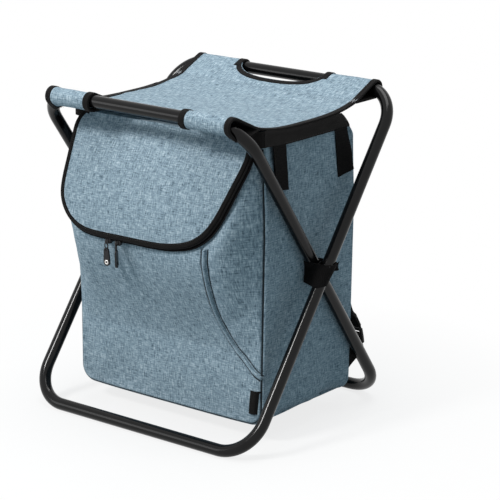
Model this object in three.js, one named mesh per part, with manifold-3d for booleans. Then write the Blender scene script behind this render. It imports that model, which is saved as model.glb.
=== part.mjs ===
// Folding cooler stool: two steel loops crossed as an X, a sling seat and a soft cooler bag.
// Units are millimetres. +X runs along the seat bars, +Y to the rear, +Z up.
// The origin is on the floor, midway between the four lower tube corners.

import * as THREE from 'three';
import * as BufferGeometryUtils from 'three/addons/utils/BufferGeometryUtils.js';
import Module from 'manifold-3d';

const wasm = await Module();
wasm.setup();

// Clearances
const touchGap = 0.3;
const cutOverrun = 4;

// Steel loops
const tubeDiameter = 16;
const tubeWall = 1;
const tubeSides = 12;
const outerLoopWidth = 364.5;
const loopGap = 2;
const legAngle = THREE.MathUtils.degToRad(36.5);
const topReach = 255.5;
const bottomReach = 263;
const bendRadius = 50;
const bendSteps = 5;

// Pivots
const rivetDiameter = 6;
const rivetPlay = 0.3;
const rivetHeadDiameter = 12;
const rivetHeadHeight = 2;
const rivetTailDiameter = 11;
const rivetTailHeight = 1.3;
const washerDiameter = 14;
const roundSteps = 16;

// Seat sling
const seatWidth = 298;
const seatSag = 30;
const seatThickness = 1.6;
const seatSagPower = 3;
const sleeveWall = 1.6;
const sleeveSlack = 1.9;
const hemReach = 46;
const hemThickness = 2.8;
const foldPlay = 0.4;
const handleLength = 138;
const frontHandleShift = -5;
const handleDepth = 41;
const handlePower = 2.4;
const handleSteps = 16;
const handleRingWidth = 14;
const foldHalfAngle = THREE.MathUtils.degToRad(33.1);
const foldSteps = 96;
const bindingWidth = 6;
const bindingProud = 0.7;

// Bag shell
const bagDepth = 194;
const bagGround = 26;
const bagToSeat = 4;
const bagToLoopTop = 2.8;
const bagToLoopBottom = 5.8;
const bagCornerRadius = 20;
const panelThickness = 5;
const linerThickness = 0.8;
const bulgeLowShare = 0.24;
const bulgeEdgePower = 2.2;
const bulgeHalfWidth = 97;

// Lid flap
const flapHalfWidth = 146;
const flapHeight = 150;
const flapDrop = 4;
const flapProud = 7;
const flapLean = 58;
const flapLeanPower = 1.7;
const flapCrown = 5;
const flapThickness = 4;
const zipDepth = 12;
const edgeTapeWidth = 5;
const zipTapeWidth = 7;
const flapLinerInset = 14;

// Zip sliders and pulls
const sliderLength = 9.6;
const sliderDepth = 7;
const sliderHeight = 4.6;
const sliderDrop = 0.9;
const leftSliderX = -55;
const rightSliderX = -37;
const pullBarDiameter = 1.8;
const pullBarDrop = 3.4;
const pullBarForward = 2.2;
const lugWidth = 1.1;
const pullPlay = 0.3;
const pullWidth = 6.4;
const pullLength = 29;
const pullThickness = 1.7;
const pullEyeWall = 1;

// Trim on the bag
const topBandHeight = 13;
const trimThickness = 1.2;
const webbingWidth = 26;
const webbingThickness = 1.4;
const sideTabLength = 60;
const frontTabInset = 30;
const rearTabInset = 35;
const pipingDiameter = 3.6;
const pipingHeadShare = 0.585;
const pipingFootShare = 0.18;
const labelWidth = 12;
const labelHeight = 30;
const labelBottom = 35;
const wrapHeight = 26;
const wrapThickness = 1.8;
const wrapTail = 5;

// Shoulder straps
const padWidth = 50;
const padThickness = 9;
const padFootWidth = 32;
const strapTopX = 45;
const strapTopDrop = 28;
const strapEdgeInset = 2.45;
const strapStandOff = 42;
const strapFootZ = 97;
const strapEndZ = 45;
const lockWidth = 31;
const lockLength = 22;
const lockThickness = 4.5;
const lockBar = 4;
const lockTilt = THREE.MathUtils.degToRad(15);

// Sizes worked out from the ones above
const tubeRadius = tubeDiameter / 2;
const tubeFlat = tubeRadius * Math.cos(Math.PI / tubeSides);
const innerLoopWidth = outerLoopWidth - 2 * (tubeDiameter + loopGap);
const innerFace = innerLoopWidth / 2 - tubeRadius;
const outerFace = outerLoopWidth / 2 + tubeRadius;
const pivotHeight = bottomReach * Math.cos(legAngle) + tubeFlat;
const barY = topReach * Math.sin(legAngle);
const barZ = pivotHeight + topReach * Math.cos(legAngle);
const sleeveTop = barZ + tubeRadius + touchGap + sleeveWall;
const seatLow = sleeveTop - seatSag;
const sleeveInner = tubeRadius + sleeveSlack;
const sleeveOuter = sleeveInner + sleeveWall;
const sleeveCentreZ = sleeveTop - sleeveOuter;
const hemY = barY - hemReach;
const bagTop = seatLow - seatThickness - bagToSeat;
const bagFront = -bagDepth / 2;
const bagRear = bagDepth / 2;
const bagHalfTop = innerFace - bagToLoopTop;
const bagHalfBottom = innerFace - bagToLoopBottom;
const flapTop = bagTop - flapDrop;
const flapBottom = flapTop - flapHeight;
const bulgeLow = bagGround + bulgeLowShare * (bagTop - bagGround);

// Colours and finishes
const steel = new THREE.MeshStandardMaterial({ color: 0x161616, roughness: 0.35, metalness: 0.6 });
const zinc = new THREE.MeshStandardMaterial({ color: 0x2a2a2c, roughness: 0.4, metalness: 0.8 });
const nylon = new THREE.MeshStandardMaterial({ color: 0x1c1c1e, roughness: 0.6, metalness: 0 });
const fabric = new THREE.MeshStandardMaterial({ color: 0x6f8c9c, roughness: 0.95, metalness: 0 });
const webbing = new THREE.MeshStandardMaterial({ color: 0x17171a, roughness: 0.85, metalness: 0 });
const foil = new THREE.MeshStandardMaterial({ color: 0xc8cbce, roughness: 0.3, metalness: 0.7 });

const stool = new THREE.Group();

function addPiece(name, geometry, material) {
  const piece = new THREE.Mesh(geometry, material);
  piece.name = name;
  stool.add(piece);
  return piece;
}

// Solids

function toSolid(geometry) {
  const bare = geometry.clone();
  bare.deleteAttribute('normal');
  bare.deleteAttribute('uv');
  const merged = BufferGeometryUtils.mergeVertices(bare);
  const mesh = new wasm.Mesh({
    numProp: 3,
    vertProperties: new Float32Array(merged.attributes.position.array),
    triVerts: new Uint32Array(merged.index.array),
  });
  return new wasm.Manifold(mesh);
}

function toGeometry(solid) {
  const mesh = solid.getMesh();
  const geometry = new THREE.BufferGeometry();
  geometry.setAttribute('position', new THREE.BufferAttribute(new Float32Array(mesh.vertProperties), 3));
  geometry.setIndex(new THREE.BufferAttribute(new Uint32Array(mesh.triVerts), 1));
  geometry.computeVertexNormals();
  return geometry;
}

function shapeOf(points) {
  return new THREE.Shape(points.map(([a, b]) => new THREE.Vector2(a, b)));
}

// Prisms: an outline drawn in two axes and carried along the third

function prismX(points, low, high) {
  const geometry = new THREE.ExtrudeGeometry(shapeOf(points), { depth: high - low, bevelEnabled: false });
  const turn = new THREE.Matrix4().makeBasis(
    new THREE.Vector3(0, 1, 0),
    new THREE.Vector3(0, 0, 1),
    new THREE.Vector3(1, 0, 0),
  );
  geometry.applyMatrix4(turn);
  geometry.translate(low, 0, 0);
  return geometry;
}

function prismY(points, low, high) {
  const geometry = new THREE.ExtrudeGeometry(shapeOf(points), { depth: high - low, bevelEnabled: false });
  geometry.rotateX(Math.PI / 2);
  geometry.translate(0, high, 0);
  return geometry;
}

function prismZ(points, low, high) {
  const geometry = new THREE.ExtrudeGeometry(shapeOf(points), { depth: high - low, bevelEnabled: false });
  geometry.translate(0, 0, low);
  return geometry;
}

function rodX(radius, low, high) {
  const geometry = new THREE.CylinderGeometry(radius, radius, high - low, roundSteps);
  geometry.rotateZ(Math.PI / 2);
  geometry.translate((low + high) / 2, 0, 0);
  return geometry;
}

function rectangle(lowA, highA, lowB, highB) {
  return [[lowA, lowB], [highA, lowB], [highA, highB], [lowA, highB]];
}

function arc(centreA, centreB, radius, from, to, steps) {
  const points = [];
  for (let i = 0; i <= steps; i += 1) {
    const angle = from + (to - from) * i / steps;
    points.push([centreA + radius * Math.cos(angle), centreB + radius * Math.sin(angle)]);
  }
  return points;
}

function spaced(low, high, steps) {
  return Array.from({ length: steps }, (_, i) => low + (high - low) * i / steps);
}

// Moves each point of a closed outline inwards by a distance. The outline runs anticlockwise.
function inset(points, distance) {
  const count = points.length;
  return points.map(([a, b], i) => {
    const [a0, b0] = points[(i + count - 1) % count];
    const [a1, b1] = points[(i + 1) % count];
    const before = new THREE.Vector2(a - a0, b - b0).normalize();
    const after = new THREE.Vector2(a1 - a, b1 - b).normalize();
    const inward = new THREE.Vector2(-before.y - after.y, before.x + after.x).normalize();
    const slant = Math.abs(inward.dot(new THREE.Vector2(-after.y, after.x)));
    const spread = distance / Math.max(slant, Math.SQRT1_2);
    return [a + inward.x * spread, b + inward.y * spread];
  });
}

// A closed body from rings of points, all with the same count. It closes on itself or has two ends.
function ringBody(rings, closed) {
  const size = rings[0].length;
  const positions = rings.flat().flatMap((point) => [point.x, point.y, point.z]);
  const index = [];
  const last = closed ? rings.length : rings.length - 1;
  for (let i = 0; i < last; i += 1) {
    const next = (i + 1) % rings.length;
    for (let j = 0; j < size; j += 1) {
      const k = (j + 1) % size;
      index.push(i * size + j, i * size + k, next * size + j);
      index.push(i * size + k, next * size + k, next * size + j);
    }
  }
  if (!closed) {
    const end = (rings.length - 1) * size;
    for (let j = 1; j < size - 1; j += 1) {
      index.push(0, j + 1, j);
      index.push(end, end + j, end + j + 1);
    }
  }
  const geometry = new THREE.BufferGeometry();
  geometry.setAttribute('position', new THREE.Float32BufferAttribute(positions, 3));
  geometry.setIndex(index);
  geometry.computeVertexNormals();
  return geometry;
}

// A flat strip swept along a curve. Its width stays as near to X as the curve allows.
function stripBody(curve, steps, widthAt, thicknessAt) {
  const rings = [];
  for (let i = 0; i <= steps; i += 1) {
    const share = i / steps;
    const centre = curve.getPoint(share);
    const along = curve.getTangent(share);
    const across = new THREE.Vector3(1, 0, 0).addScaledVector(along, -along.x).normalize();
    const through = new THREE.Vector3().crossVectors(along, across);
    const half = widthAt(share) / 2;
    const thick = thicknessAt(share) / 2;
    const ring = [[-half, -thick], [half, -thick], [half, thick], [-half, thick]].map(([w, t]) =>
      centre.clone().addScaledVector(across, w).addScaledVector(through, t));
    rings.push(ring);
  }
  return ringBody(rings, false);
}

// Steel loops: a bent tube, drilled at mid height for the pivot rivets

function loopRings(width, radius, lean) {
  const rings = [];
  const halfWidth = width / 2;
  const corners = [
    [halfWidth - bendRadius, topReach - bendRadius, 0],
    [-halfWidth + bendRadius, topReach - bendRadius, 1],
    [-halfWidth + bendRadius, -bottomReach + bendRadius, 2],
    [halfWidth - bendRadius, -bottomReach + bendRadius, 3],
  ];
  for (const [centreX, centreS, quarter] of corners) {
    for (let i = 0; i <= bendSteps; i += 1) {
      const turn = (quarter + i / bendSteps) * Math.PI / 2;
      const outward = new THREE.Vector3(Math.cos(turn), 0, Math.sin(turn));
      const centre = new THREE.Vector3(centreX, 0, centreS).addScaledVector(outward, bendRadius);
      const ring = [];
      for (let j = 0; j < tubeSides; j += 1) {
        const around = lean + (j + 1 / 2) * 2 * Math.PI / tubeSides;
        const point = centre.clone().addScaledVector(outward, radius * Math.cos(around));
        point.y += radius * Math.sin(around);
        ring.push(point);
      }
      rings.push(ring);
    }
  }
  return rings;
}

function loopSolid(width, radius, lean) {
  return toSolid(ringBody(loopRings(width, radius, lean), true));
}

function steelLoop(name, width, lean) {
  const skin = loopSolid(width, tubeRadius, lean);
  const bore = loopSolid(width, tubeRadius - tubeWall, lean);
  const drillReach = outerFace + cutOverrun;
  const drill = toSolid(rodX(rivetDiameter / 2 + rivetPlay, -drillReach, drillReach));
  const loop = addPiece(name, toGeometry(skin.subtract(bore).subtract(drill)), steel);
  loop.rotation.x = -lean;
  loop.position.z = pivotHeight;
}

// The rivet joins both loops on one side. Its domed head is outside and its formed tail inside.
function pivotRivet(name, side) {
  const tailX = innerFace - rivetTailHeight;
  const headX = outerFace + touchGap;
  const profile = [
    [0, tailX],
    [rivetTailDiameter / 2, tailX],
    [rivetTailDiameter / 2, innerFace - touchGap],
    [rivetDiameter / 2, innerFace - touchGap],
    [rivetDiameter / 2, headX],
    [rivetHeadDiameter / 2, headX],
    [rivetHeadDiameter / 3, headX + rivetHeadHeight * 2 / 3],
    [0, headX + rivetHeadHeight],
  ].map(([r, x]) => new THREE.Vector2(r, x));
  const geometry = new THREE.LatheGeometry(profile, roundSteps);
  geometry.rotateZ(-side * Math.PI / 2);
  const rivet = addPiece(name, toGeometry(toSolid(geometry)), zinc);
  rivet.position.z = pivotHeight;
}

function pivotWasher(name, side) {
  const middle = side * (outerLoopWidth / 2 - tubeRadius - loopGap / 2);
  const half = loopGap / 2 - touchGap;
  const disc = toSolid(rodX(washerDiameter / 2, middle - half, middle + half));
  const bore = toSolid(rodX(rivetDiameter / 2 + rivetPlay, middle - loopGap, middle + loopGap));
  const washer = addPiece(name, toGeometry(disc.subtract(bore)), nylon);
  washer.position.z = pivotHeight;
}

// Seat sling

function seatTopAt(y) {
  return seatLow + seatSag * Math.abs(y / barY) ** seatSagPower;
}

// The outline of a belt round two circles, the first one larger
function beltOutline(y1, z1, r1, y2, z2, r2) {
  const heading = Math.atan2(z2 - z1, y2 - y1);
  const spread = Math.acos((r1 - r2) / Math.hypot(y2 - y1, z2 - z1));
  const big = arc(y1, z1, r1, heading + spread, heading + 2 * Math.PI - spread, roundSteps);
  const small = arc(y2, z2, r2, heading - spread, heading + spread, 4);
  return big.concat(small);
}

// One layer of fabric goes round the bar and is sewn to itself at the hem.
const hemZ = seatTopAt(hemY) - hemThickness / 2;

function sleeveSkin(side, grow, lowX, highX) {
  const hemRadius = hemThickness / 2 + grow;
  const barRadius = sleeveOuter + grow;
  const skin = beltOutline(side * barY, sleeveCentreZ, barRadius, side * hemY, hemZ, hemRadius);
  return toSolid(prismX(skin, lowX, highX));
}

function sleeveHollow(side, lowX, highX) {
  const tipShare = 2 * sleeveInner / hemReach;
  const tipY = side * (hemY + hemReach * tipShare);
  const tipZ = hemZ + (sleeveCentreZ - hemZ) * tipShare;
  const hollow = beltOutline(side * barY, sleeveCentreZ, sleeveInner, tipY, tipZ, sleeveInner / 3);
  return toSolid(prismX(hollow, lowX - cutOverrun, highX + cutOverrun));
}

// Near its ends the sleeve is pushed down by the bends of the bar, so it follows them.
function overBend(side, thickness, lowX, highX) {
  const [width, lean] = side < 0 ? [innerLoopWidth, -legAngle] : [outerLoopWidth, legAngle];
  const turned = loopSolid(width, tubeRadius + touchGap + thickness, lean)
    .rotate([-THREE.MathUtils.radToDeg(lean), 0, 0])
    .translate([0, 0, pivotHeight]);
  const upper = rectangle(-topReach, topReach, pivotHeight, pivotHeight + topReach);
  const upperHalf = prismX(upper, lowX, highX);
  return turned.intersect(toSolid(upperHalf));
}

// The half-moon cut that bares the bar as a handle, seen from above
function handleOutline(side, shift, grow) {
  const half = handleLength / 2 + grow;
  const depth = handleDepth + grow;
  const points = [];
  for (let i = 0; i <= handleSteps; i += 1) {
    const turn = Math.PI * i / handleSteps;
    const across = Math.cos(turn);
    const inward = Math.sin(turn);
    const x = shift + half * Math.sign(across) * Math.abs(across) ** (2 / handlePower);
    points.push([x, side * (barY - depth * inward ** (2 / handlePower))]);
  }
  const outside = side * (barY + sleeveOuter + cutOverrun);
  points.push([shift - half, outside], [shift + half, outside]);
  return side > 0 ? points.reverse() : points;
}

function handleCut(side, shift, grow) {
  return toSolid(prismZ(handleOutline(side, shift, grow), seatLow - seatSag, sleeveTop + seatSag));
}

// The sling folds along a round body about the pivots. Cloth inside it stays midway between the loops,
// and cloth outside it turns with its own loop. It narrows at the ends, where the bends of the bar sweep.
function foldRadiusAt(x) {
  const past = THREE.MathUtils.clamp(Math.abs(x) - innerLoopWidth / 2 + bendRadius, 0, bendRadius);
  const drop = bendRadius - Math.sqrt(bendRadius ** 2 - past ** 2);
  const sleeveReach = Math.hypot(barY, sleeveCentreZ - pivotHeight) - sleeveOuter - bindingProud;
  return sleeveReach - foldPlay - drop;
}

function foldBody(grow) {
  const half = seatWidth / 2 + cutOverrun;
  const bendStart = Math.min(innerLoopWidth / 2 - bendRadius, half / 2);
  const places = [...spaced(bendStart, half, bendSteps), half];
  const mirrored = places.map((x) => -x).reverse();
  const profile = [
    new THREE.Vector2(0, -half),
    ...[...mirrored, ...places].map((x) => new THREE.Vector2(foldRadiusAt(x) + grow, x)),
    new THREE.Vector2(0, half),
  ];
  const geometry = new THREE.LatheGeometry(profile, foldSteps);
  geometry.rotateZ(Math.PI / 2);
  geometry.translate(0, 0, pivotHeight);
  return toSolid(geometry);
}

// The part of a sleeve that turns with its loop, and clears the other loop's sleeve when folded
function loopSleeve(side, grow, lowX, highX) {
  const reach = 2 * topReach;
  const wedge = [
    [0, pivotHeight],
    [reach * Math.sin(foldHalfAngle), pivotHeight + reach * Math.cos(foldHalfAngle)],
    [-reach * Math.sin(foldHalfAngle), pivotHeight + reach * Math.cos(foldHalfAngle)],
  ];
  return sleeveSkin(side, grow, lowX, highX)
    .add(overBend(side, sleeveWall + grow, lowX, highX))
    .subtract(sleeveHollow(side, lowX, highX))
    .subtract(overBend(side, 0, lowX - cutOverrun, highX + cutOverrun))
    .subtract(foldBody(foldPlay))
    .subtract(toSolid(prismX(wedge, lowX - cutOverrun, highX + cutOverrun)));
}

// Round each end of the bar: a sleeve, a bound end beside the handle and a bound end at the seat's side
function seatEdge(label, side, shift) {
  const half = seatWidth / 2;
  for (const [hand, sign] of [['left', -1], ['right', 1]]) {
    const bound = half - bindingWidth;
    const bare = handleLength / 2 + sign * shift;
    const pieces = [
      [`${label}_handle_ring_${hand}`, bindingProud, bare, bare + handleRingWidth, webbing],
      [`seat_${label}_sleeve_${hand}`, 0, bare + handleRingWidth + touchGap, bound - touchGap, fabric],
      [`${label}_end_binding_${hand}`, bindingProud, bound, half, webbing],
    ];
    for (const [name, grow, near, far, material] of pieces) {
      const [lowX, highX] = sign > 0 ? [near, far] : [-far, -near];
      addPiece(name, toGeometry(loopSleeve(side, grow, lowX, highX)), material);
    }
  }
}

// A strip of the sling's middle, as thick as the sheet and as much more on each face. Its front and rear
// parts are the two layers that run on into the sleeves.
function seatStrip(lowX, highX, grow) {
  const steps = 16;
  const reach = hemY + hemThickness;
  const upper = [];
  const lower = [];
  for (let i = 0; i <= steps; i += 1) {
    const y = reach * (1 - 2 * i / steps);
    upper.push([y, seatTopAt(y) + grow]);
    lower.unshift([y, seatTopAt(y) - seatThickness - grow]);
  }
  return toSolid(prismX(upper.concat(lower), lowX, highX))
    .add(sleeveSkin(-1, grow, lowX, highX))
    .add(sleeveSkin(1, grow, lowX, highX))
    .subtract(sleeveHollow(-1, lowX, highX))
    .subtract(sleeveHollow(1, lowX, highX))
    .intersect(foldBody(0));
}

function seatSling() {
  const half = seatWidth / 2;
  const inside = half - bindingWidth - touchGap;
  const cloth = seatStrip(-inside, inside, 0)
    .subtract(handleCut(-1, frontHandleShift, bindingWidth + touchGap))
    .subtract(handleCut(1, 0, bindingWidth + touchGap));
  addPiece('seat_panel', toGeometry(cloth), fabric);
  const band = seatStrip(-inside, inside, bindingProud);
  for (const [label, side, shift] of [['front', -1, frontHandleShift], ['rear', 1, 0]]) {
    const rim = handleCut(side, shift, bindingWidth).subtract(handleCut(side, shift, 0));
    addPiece(`${label}_handle_binding`, toGeometry(band.intersect(rim)), webbing);
    seatEdge(label, side, shift);
  }
  for (const [hand, sign] of [['left', -1], ['right', 1]]) {
    const low = Math.min(sign * half, sign * (half - bindingWidth));
    const strip = seatStrip(low, low + bindingWidth, bindingProud);
    addPiece(`seat_side_binding_${hand}`, toGeometry(strip), webbing);
  }
}

// Bag outline, seen from the front: straight sides that taper, and rounded lower corners

function bagHalfWidth(z) {
  const share = THREE.MathUtils.clamp((z - bagGround) / (bagTop - bagGround), 0, 1);
  return bagHalfBottom + (bagHalfTop - bagHalfBottom) * share;
}

function bagOutline() {
  const cornerZ = bagGround + bagCornerRadius;
  const cornerX = bagHalfWidth(cornerZ) - bagCornerRadius;
  const right = arc(cornerX, cornerZ, bagCornerRadius, -Math.PI / 2, 0, 8);
  const left = arc(-cornerX, cornerZ, bagCornerRadius, -Math.PI, -Math.PI / 2, 8);
  return [...right, [bagHalfTop, bagTop], [-bagHalfTop, bagTop], ...left];
}

function bagPrism(inward, low, high) {
  return toSolid(prismY(inset(bagOutline(), inward), low, high));
}

// Flap outline, seen from the front. Each point is a share of the half width and of the height.
// The lower edge is straight where the sliders run, and the right corner is cut away more.
const flapRightShares = [
  [0.34, 0.045],
  [0.5, 0.07],
  [0.65, 0.13],
  [0.76, 0.24],
  [0.82, 0.38],
  [0.875, 0.55],
  [0.935, 0.75],
  [1, 1],
];
const flapLeftShares = [
  [-1, 1],
  [-0.975, 0.8],
  [-0.96, 0.58],
  [-0.94, 0.4],
  [-0.895, 0.25],
  [-0.81, 0.13],
  [-0.69, 0.05],
  [-0.48, 0.012],
];
const flapCurveSteps = 16;

function flapPoint([across, up]) {
  return new THREE.Vector2(across * flapHalfWidth, flapBottom + up * flapHeight);
}

// The outline runs on above the bag, so that what is cut with it is trimmed at the top by height.
function flapOutline() {
  const right = new THREE.SplineCurve(flapRightShares.map(flapPoint)).getPoints(flapCurveSteps);
  const left = new THREE.SplineCurve(flapLeftShares.map(flapPoint)).getPoints(flapCurveSteps);
  const above = [
    new THREE.Vector2(flapHalfWidth, bagTop + seatSag),
    new THREE.Vector2(-flapHalfWidth, bagTop + seatSag),
  ];
  return [...right, ...above, ...left].map((point) => [point.x, point.y]);
}

const lowerEdgeStart = flapPoint(flapLeftShares[flapLeftShares.length - 1]);
const lowerEdgeEnd = flapPoint(flapRightShares[0]);

function lowerEdgeZ(x) {
  const share = (x - lowerEdgeStart.x) / (lowerEdgeEnd.x - lowerEdgeStart.x);
  return lowerEdgeStart.y + (lowerEdgeEnd.y - lowerEdgeStart.y) * share;
}

// The front surfaces lean forward from the top edge to the flap's lower edge.

function flapFaceY(x, z) {
  const down = THREE.MathUtils.clamp((flapTop - z) / flapHeight, 0, 1);
  const lean = flapLean * (1 - (1 - down) ** flapLeanPower);
  return bagFront - flapProud - lean + flapCrown * down * (x / flapHalfWidth) ** 2;
}

// Half the width of the part of the front that is carried forward with the flap
const carriedHalfShares = [
  [0, 0.68],
  [0.12, 0.76],
  [0.3, 0.86],
  [0.7, 0.94],
  [1, 1],
];

function carriedHalfWidth(z) {
  const up = THREE.MathUtils.clamp((z - flapBottom) / flapHeight, 0, 1);
  const upper = carriedHalfShares.findIndex(([share], i) => i > 0 && up <= share);
  const [share0, half0] = carriedHalfShares[upper - 1];
  const [share1, half1] = carriedHalfShares[upper];
  return flapHalfWidth * (half0 + (half1 - half0) * (up - share0) / (share1 - share0));
}

function frontFaceY(x, z) {
  const level = Math.max(z, flapBottom);
  const forward = Math.max(bagFront - flapFaceY(0, level) - zipDepth, 0);
  const rise = THREE.MathUtils.clamp((z - bulgeLow) / (flapBottom - bulgeLow), 0, 1);
  const ramp = (rise + rise * rise * (3 - 2 * rise)) / 2;
  const half = bagHalfWidth(z);
  const fromSeam = THREE.MathUtils.clamp((half - Math.abs(x)) / (half - carriedHalfWidth(z)), 0, 1);
  return bagFront - forward * ramp * (1 - (1 - fromSeam) ** bulgeEdgePower);
}

// A slab between two curved faces, on one shared grid, so that parallel faces never cross
const gridColumns = 20;
const lowerRows = 8;
const flapRows = 10;
const gridHeights = [
  bagGround - cutOverrun,
  ...spaced(bulgeLow, flapBottom, lowerRows),
  ...spaced(flapBottom, flapTop, flapRows),
  flapTop,
  bagTop + cutOverrun,
];

// Columns close up towards the side seams, where the front turns back most sharply.
function gridX(column, z) {
  if (column === 0 || column === gridColumns) {
    return (bagHalfWidth(z) + cutOverrun) * Math.sign(column - 1);
  }
  const share = 2 * (column - 1) / (gridColumns - 2) - 1;
  return bagHalfWidth(z) * Math.sin(share * Math.PI / 2);
}

function slabSolid(frontAt, backAt) {
  const gridRows = gridHeights.length - 1;
  const positions = [];
  for (const faceAt of [frontAt, backAt]) {
    for (const z of gridHeights) {
      for (let i = 0; i <= gridColumns; i += 1) {
        const x = gridX(i, z);
        positions.push(x, faceAt(x, z), z);
      }
    }
  }
  const row = gridColumns + 1;
  const layer = row * (gridRows + 1);
  const index = [];
  const quad = (a, b, c, d) => index.push(a, b, c, a, c, d);
  for (let j = 0; j < gridRows; j += 1) {
    for (let i = 0; i < gridColumns; i += 1) {
      const a = j * row + i;
      quad(a, a + 1, a + 1 + row, a + row);
      index.push(layer + a, layer + a + 1 + row, layer + a + 1);
      index.push(layer + a, layer + a + row, layer + a + 1 + row);
    }
  }
  for (let i = 0; i < gridColumns; i += 1) {
    const top = gridRows * row + i;
    quad(i + 1, i, layer + i, layer + i + 1);
    quad(top, top + 1, layer + top + 1, layer + top);
  }
  for (let j = 0; j < gridRows; j += 1) {
    const left = j * row;
    const right = left + gridColumns;
    quad(left, left + row, layer + left + row, layer + left);
    quad(right + row, right, layer + right, layer + right + row);
  }
  const geometry = new THREE.BufferGeometry();
  geometry.setAttribute('position', new THREE.Float32BufferAttribute(positions, 3));
  geometry.setIndex(index);
  return toSolid(geometry);
}

function flapPrism(inward) {
  return toSolid(prismY(inset(flapOutline(), inward), -bagDepth, 0));
}

function bagShell() {
  const frontBack = (x, z) => frontFaceY(x, z) + panelThickness;
  const front = slabSolid(frontFaceY, frontBack);
  const mouthInset = edgeTapeWidth + zipTapeWidth / 2;
  const mouth = flapPrism(mouthInset);
  const frontShape = front.intersect(bagPrism(0, -bagDepth, 0)).subtract(mouth);
  addPiece('bag_front_panel', toGeometry(frontShape), fabric);

  addPiece('bag_back_panel', toGeometry(bagPrism(0, bagRear - panelThickness, bagRear)), fabric);

  const wallFront = bagFront + panelThickness + touchGap;
  const wallRear = bagRear - panelThickness - touchGap;
  const hollow = bagPrism(panelThickness, wallFront - cutOverrun, wallRear + cutOverrun);
  const wall = bagPrism(0, wallFront, wallRear).subtract(hollow);
  const cornerZ = bagGround + bagCornerRadius;
  const roofZ = bagTop - panelThickness;
  const slice = (lowX, highX, lowZ, highZ) =>
    toSolid(prismY(rectangle(lowX, highX, lowZ, highZ), wallFront - cutOverrun, wallRear + cutOverrun));
  const wide = bagHalfTop + cutOverrun;
  addPiece('bag_bottom_panel', toGeometry(wall.intersect(slice(-wide, wide, 0, cornerZ))), fabric);
  for (const [hand, sign] of [['left', -1], ['right', 1]]) {
    const low = Math.min(0, sign * wide);
    const side = wall.intersect(slice(low, low + wide, cornerZ + touchGap, roofZ - touchGap));
    addPiece(`bag_side_panel_${hand}`, toGeometry(side), fabric);
  }
  const roof = bagPrism(0, wallFront, wallRear).intersect(slice(-wide, wide, roofZ, bagTop));
  const lipHalf = flapHalfWidth - mouthInset - panelThickness;
  const lipFront = flapFaceY(0, flapTop) + flapThickness + touchGap;
  const lipOutline = rectangle(-lipHalf, lipHalf, roofZ, bagTop);
  const lip = toSolid(prismY(lipOutline, lipFront, wallFront + panelThickness));
  addPiece('bag_top_panel', toGeometry(roof.add(lip)), fabric);

  const linerInset = panelThickness + touchGap;
  const tray = bagPrism(linerInset, wallFront, wallRear);
  const trayInset = linerInset + linerThickness;
  const trayHollow = bagPrism(trayInset, wallFront - cutOverrun, wallRear - linerThickness);
  addPiece('bag_liner', toGeometry(tray.subtract(trayHollow)), foil);
}

function lidAndZip() {
  const behindFlap = (depth) => (x, z) => flapFaceY(x, z) + depth;
  const belowTop = toSolid(prismY(
    rectangle(-bagHalfTop, bagHalfTop, bagGround, flapTop - touchGap),
    -bagDepth,
    0,
  ));
  const cloth = slabSolid(behindFlap(0), behindFlap(flapThickness));
  const clothShape = cloth.intersect(flapPrism(edgeTapeWidth + touchGap)).intersect(belowTop);
  addPiece('lid_flap', toGeometry(clothShape), fabric);

  const edge = slabSolid(behindFlap(-bindingProud), behindFlap(flapThickness + bindingProud));
  const edgeRing = flapPrism(0).subtract(flapPrism(edgeTapeWidth));
  addPiece('lid_edge_binding', toGeometry(edge.intersect(edgeRing).intersect(belowTop)), webbing);

  const backing = flapThickness + touchGap;
  const lining = slabSolid(behindFlap(backing), behindFlap(backing + linerThickness));
  const belowHem = belowTop.translate([0, 0, -flapLinerInset]);
  const liningShape = lining.intersect(flapPrism(flapLinerInset)).intersect(belowHem);
  addPiece('lid_liner', toGeometry(liningShape), foil);

  const tapeFront = behindFlap(flapThickness + bindingProud + touchGap);
  const tapeBack = (x, z) => Math.max(frontFaceY(x, z) - touchGap, tapeFront(x, z) + touchGap);
  const tape = slabSolid(tapeFront, tapeBack);
  const tapeRing = flapPrism(bindingProud).subtract(flapPrism(bindingProud + zipTapeWidth));
  addPiece('zip_tape', toGeometry(tape.intersect(tapeRing).intersect(belowTop)), webbing);
}

// A zip slider under the flap's lower edge, with a cross bar that carries its pull
function zipSlider(hand, x, pullAcross) {
  const topZ = lowerEdgeZ(x) - sliderDrop;
  const faceY = flapFaceY(x, flapBottom);
  const lowY = faceY + flapThickness / 2;
  const barAt = [faceY + pullBarForward, topZ - sliderHeight - pullBarDrop];
  const half = sliderLength / 2;
  const barRadius = pullBarDiameter / 2;
  const face = rectangle(x - half, x + half, topZ - sliderHeight, topZ);
  const body = toSolid(prismY(face, lowY, lowY + sliderDepth));
  const lugOutline = [
    [lowY, topZ],
    [lowY, topZ - sliderHeight / 2],
    [barAt[0] - barRadius - pullEyeWall, barAt[1] + barRadius],
    [barAt[0] - barRadius, barAt[1] - barRadius - pullEyeWall],
    [barAt[0] + barRadius + pullEyeWall, barAt[1] - barRadius],
    [lowY + sliderDepth / 2, topZ - sliderHeight / 2],
    [lowY + sliderDepth / 2, topZ],
  ];
  let slider = body;
  for (const sign of [-1, 1]) {
    const low = Math.min(x + sign * half, x + sign * (half - lugWidth));
    slider = slider.add(toSolid(prismX(lugOutline, low, low + lugWidth)));
  }
  const bar = toSolid(rodX(barRadius, x - half + lugWidth / 2, x + half - lugWidth / 2));
  slider = slider.add(bar.translate([0, barAt[0], barAt[1]]));
  addPiece(`zip_slider_${hand}`, toGeometry(slider), zinc);
  zipPull(`zip_pull_${hand}`, x, barAt, pullAcross);
}

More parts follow.
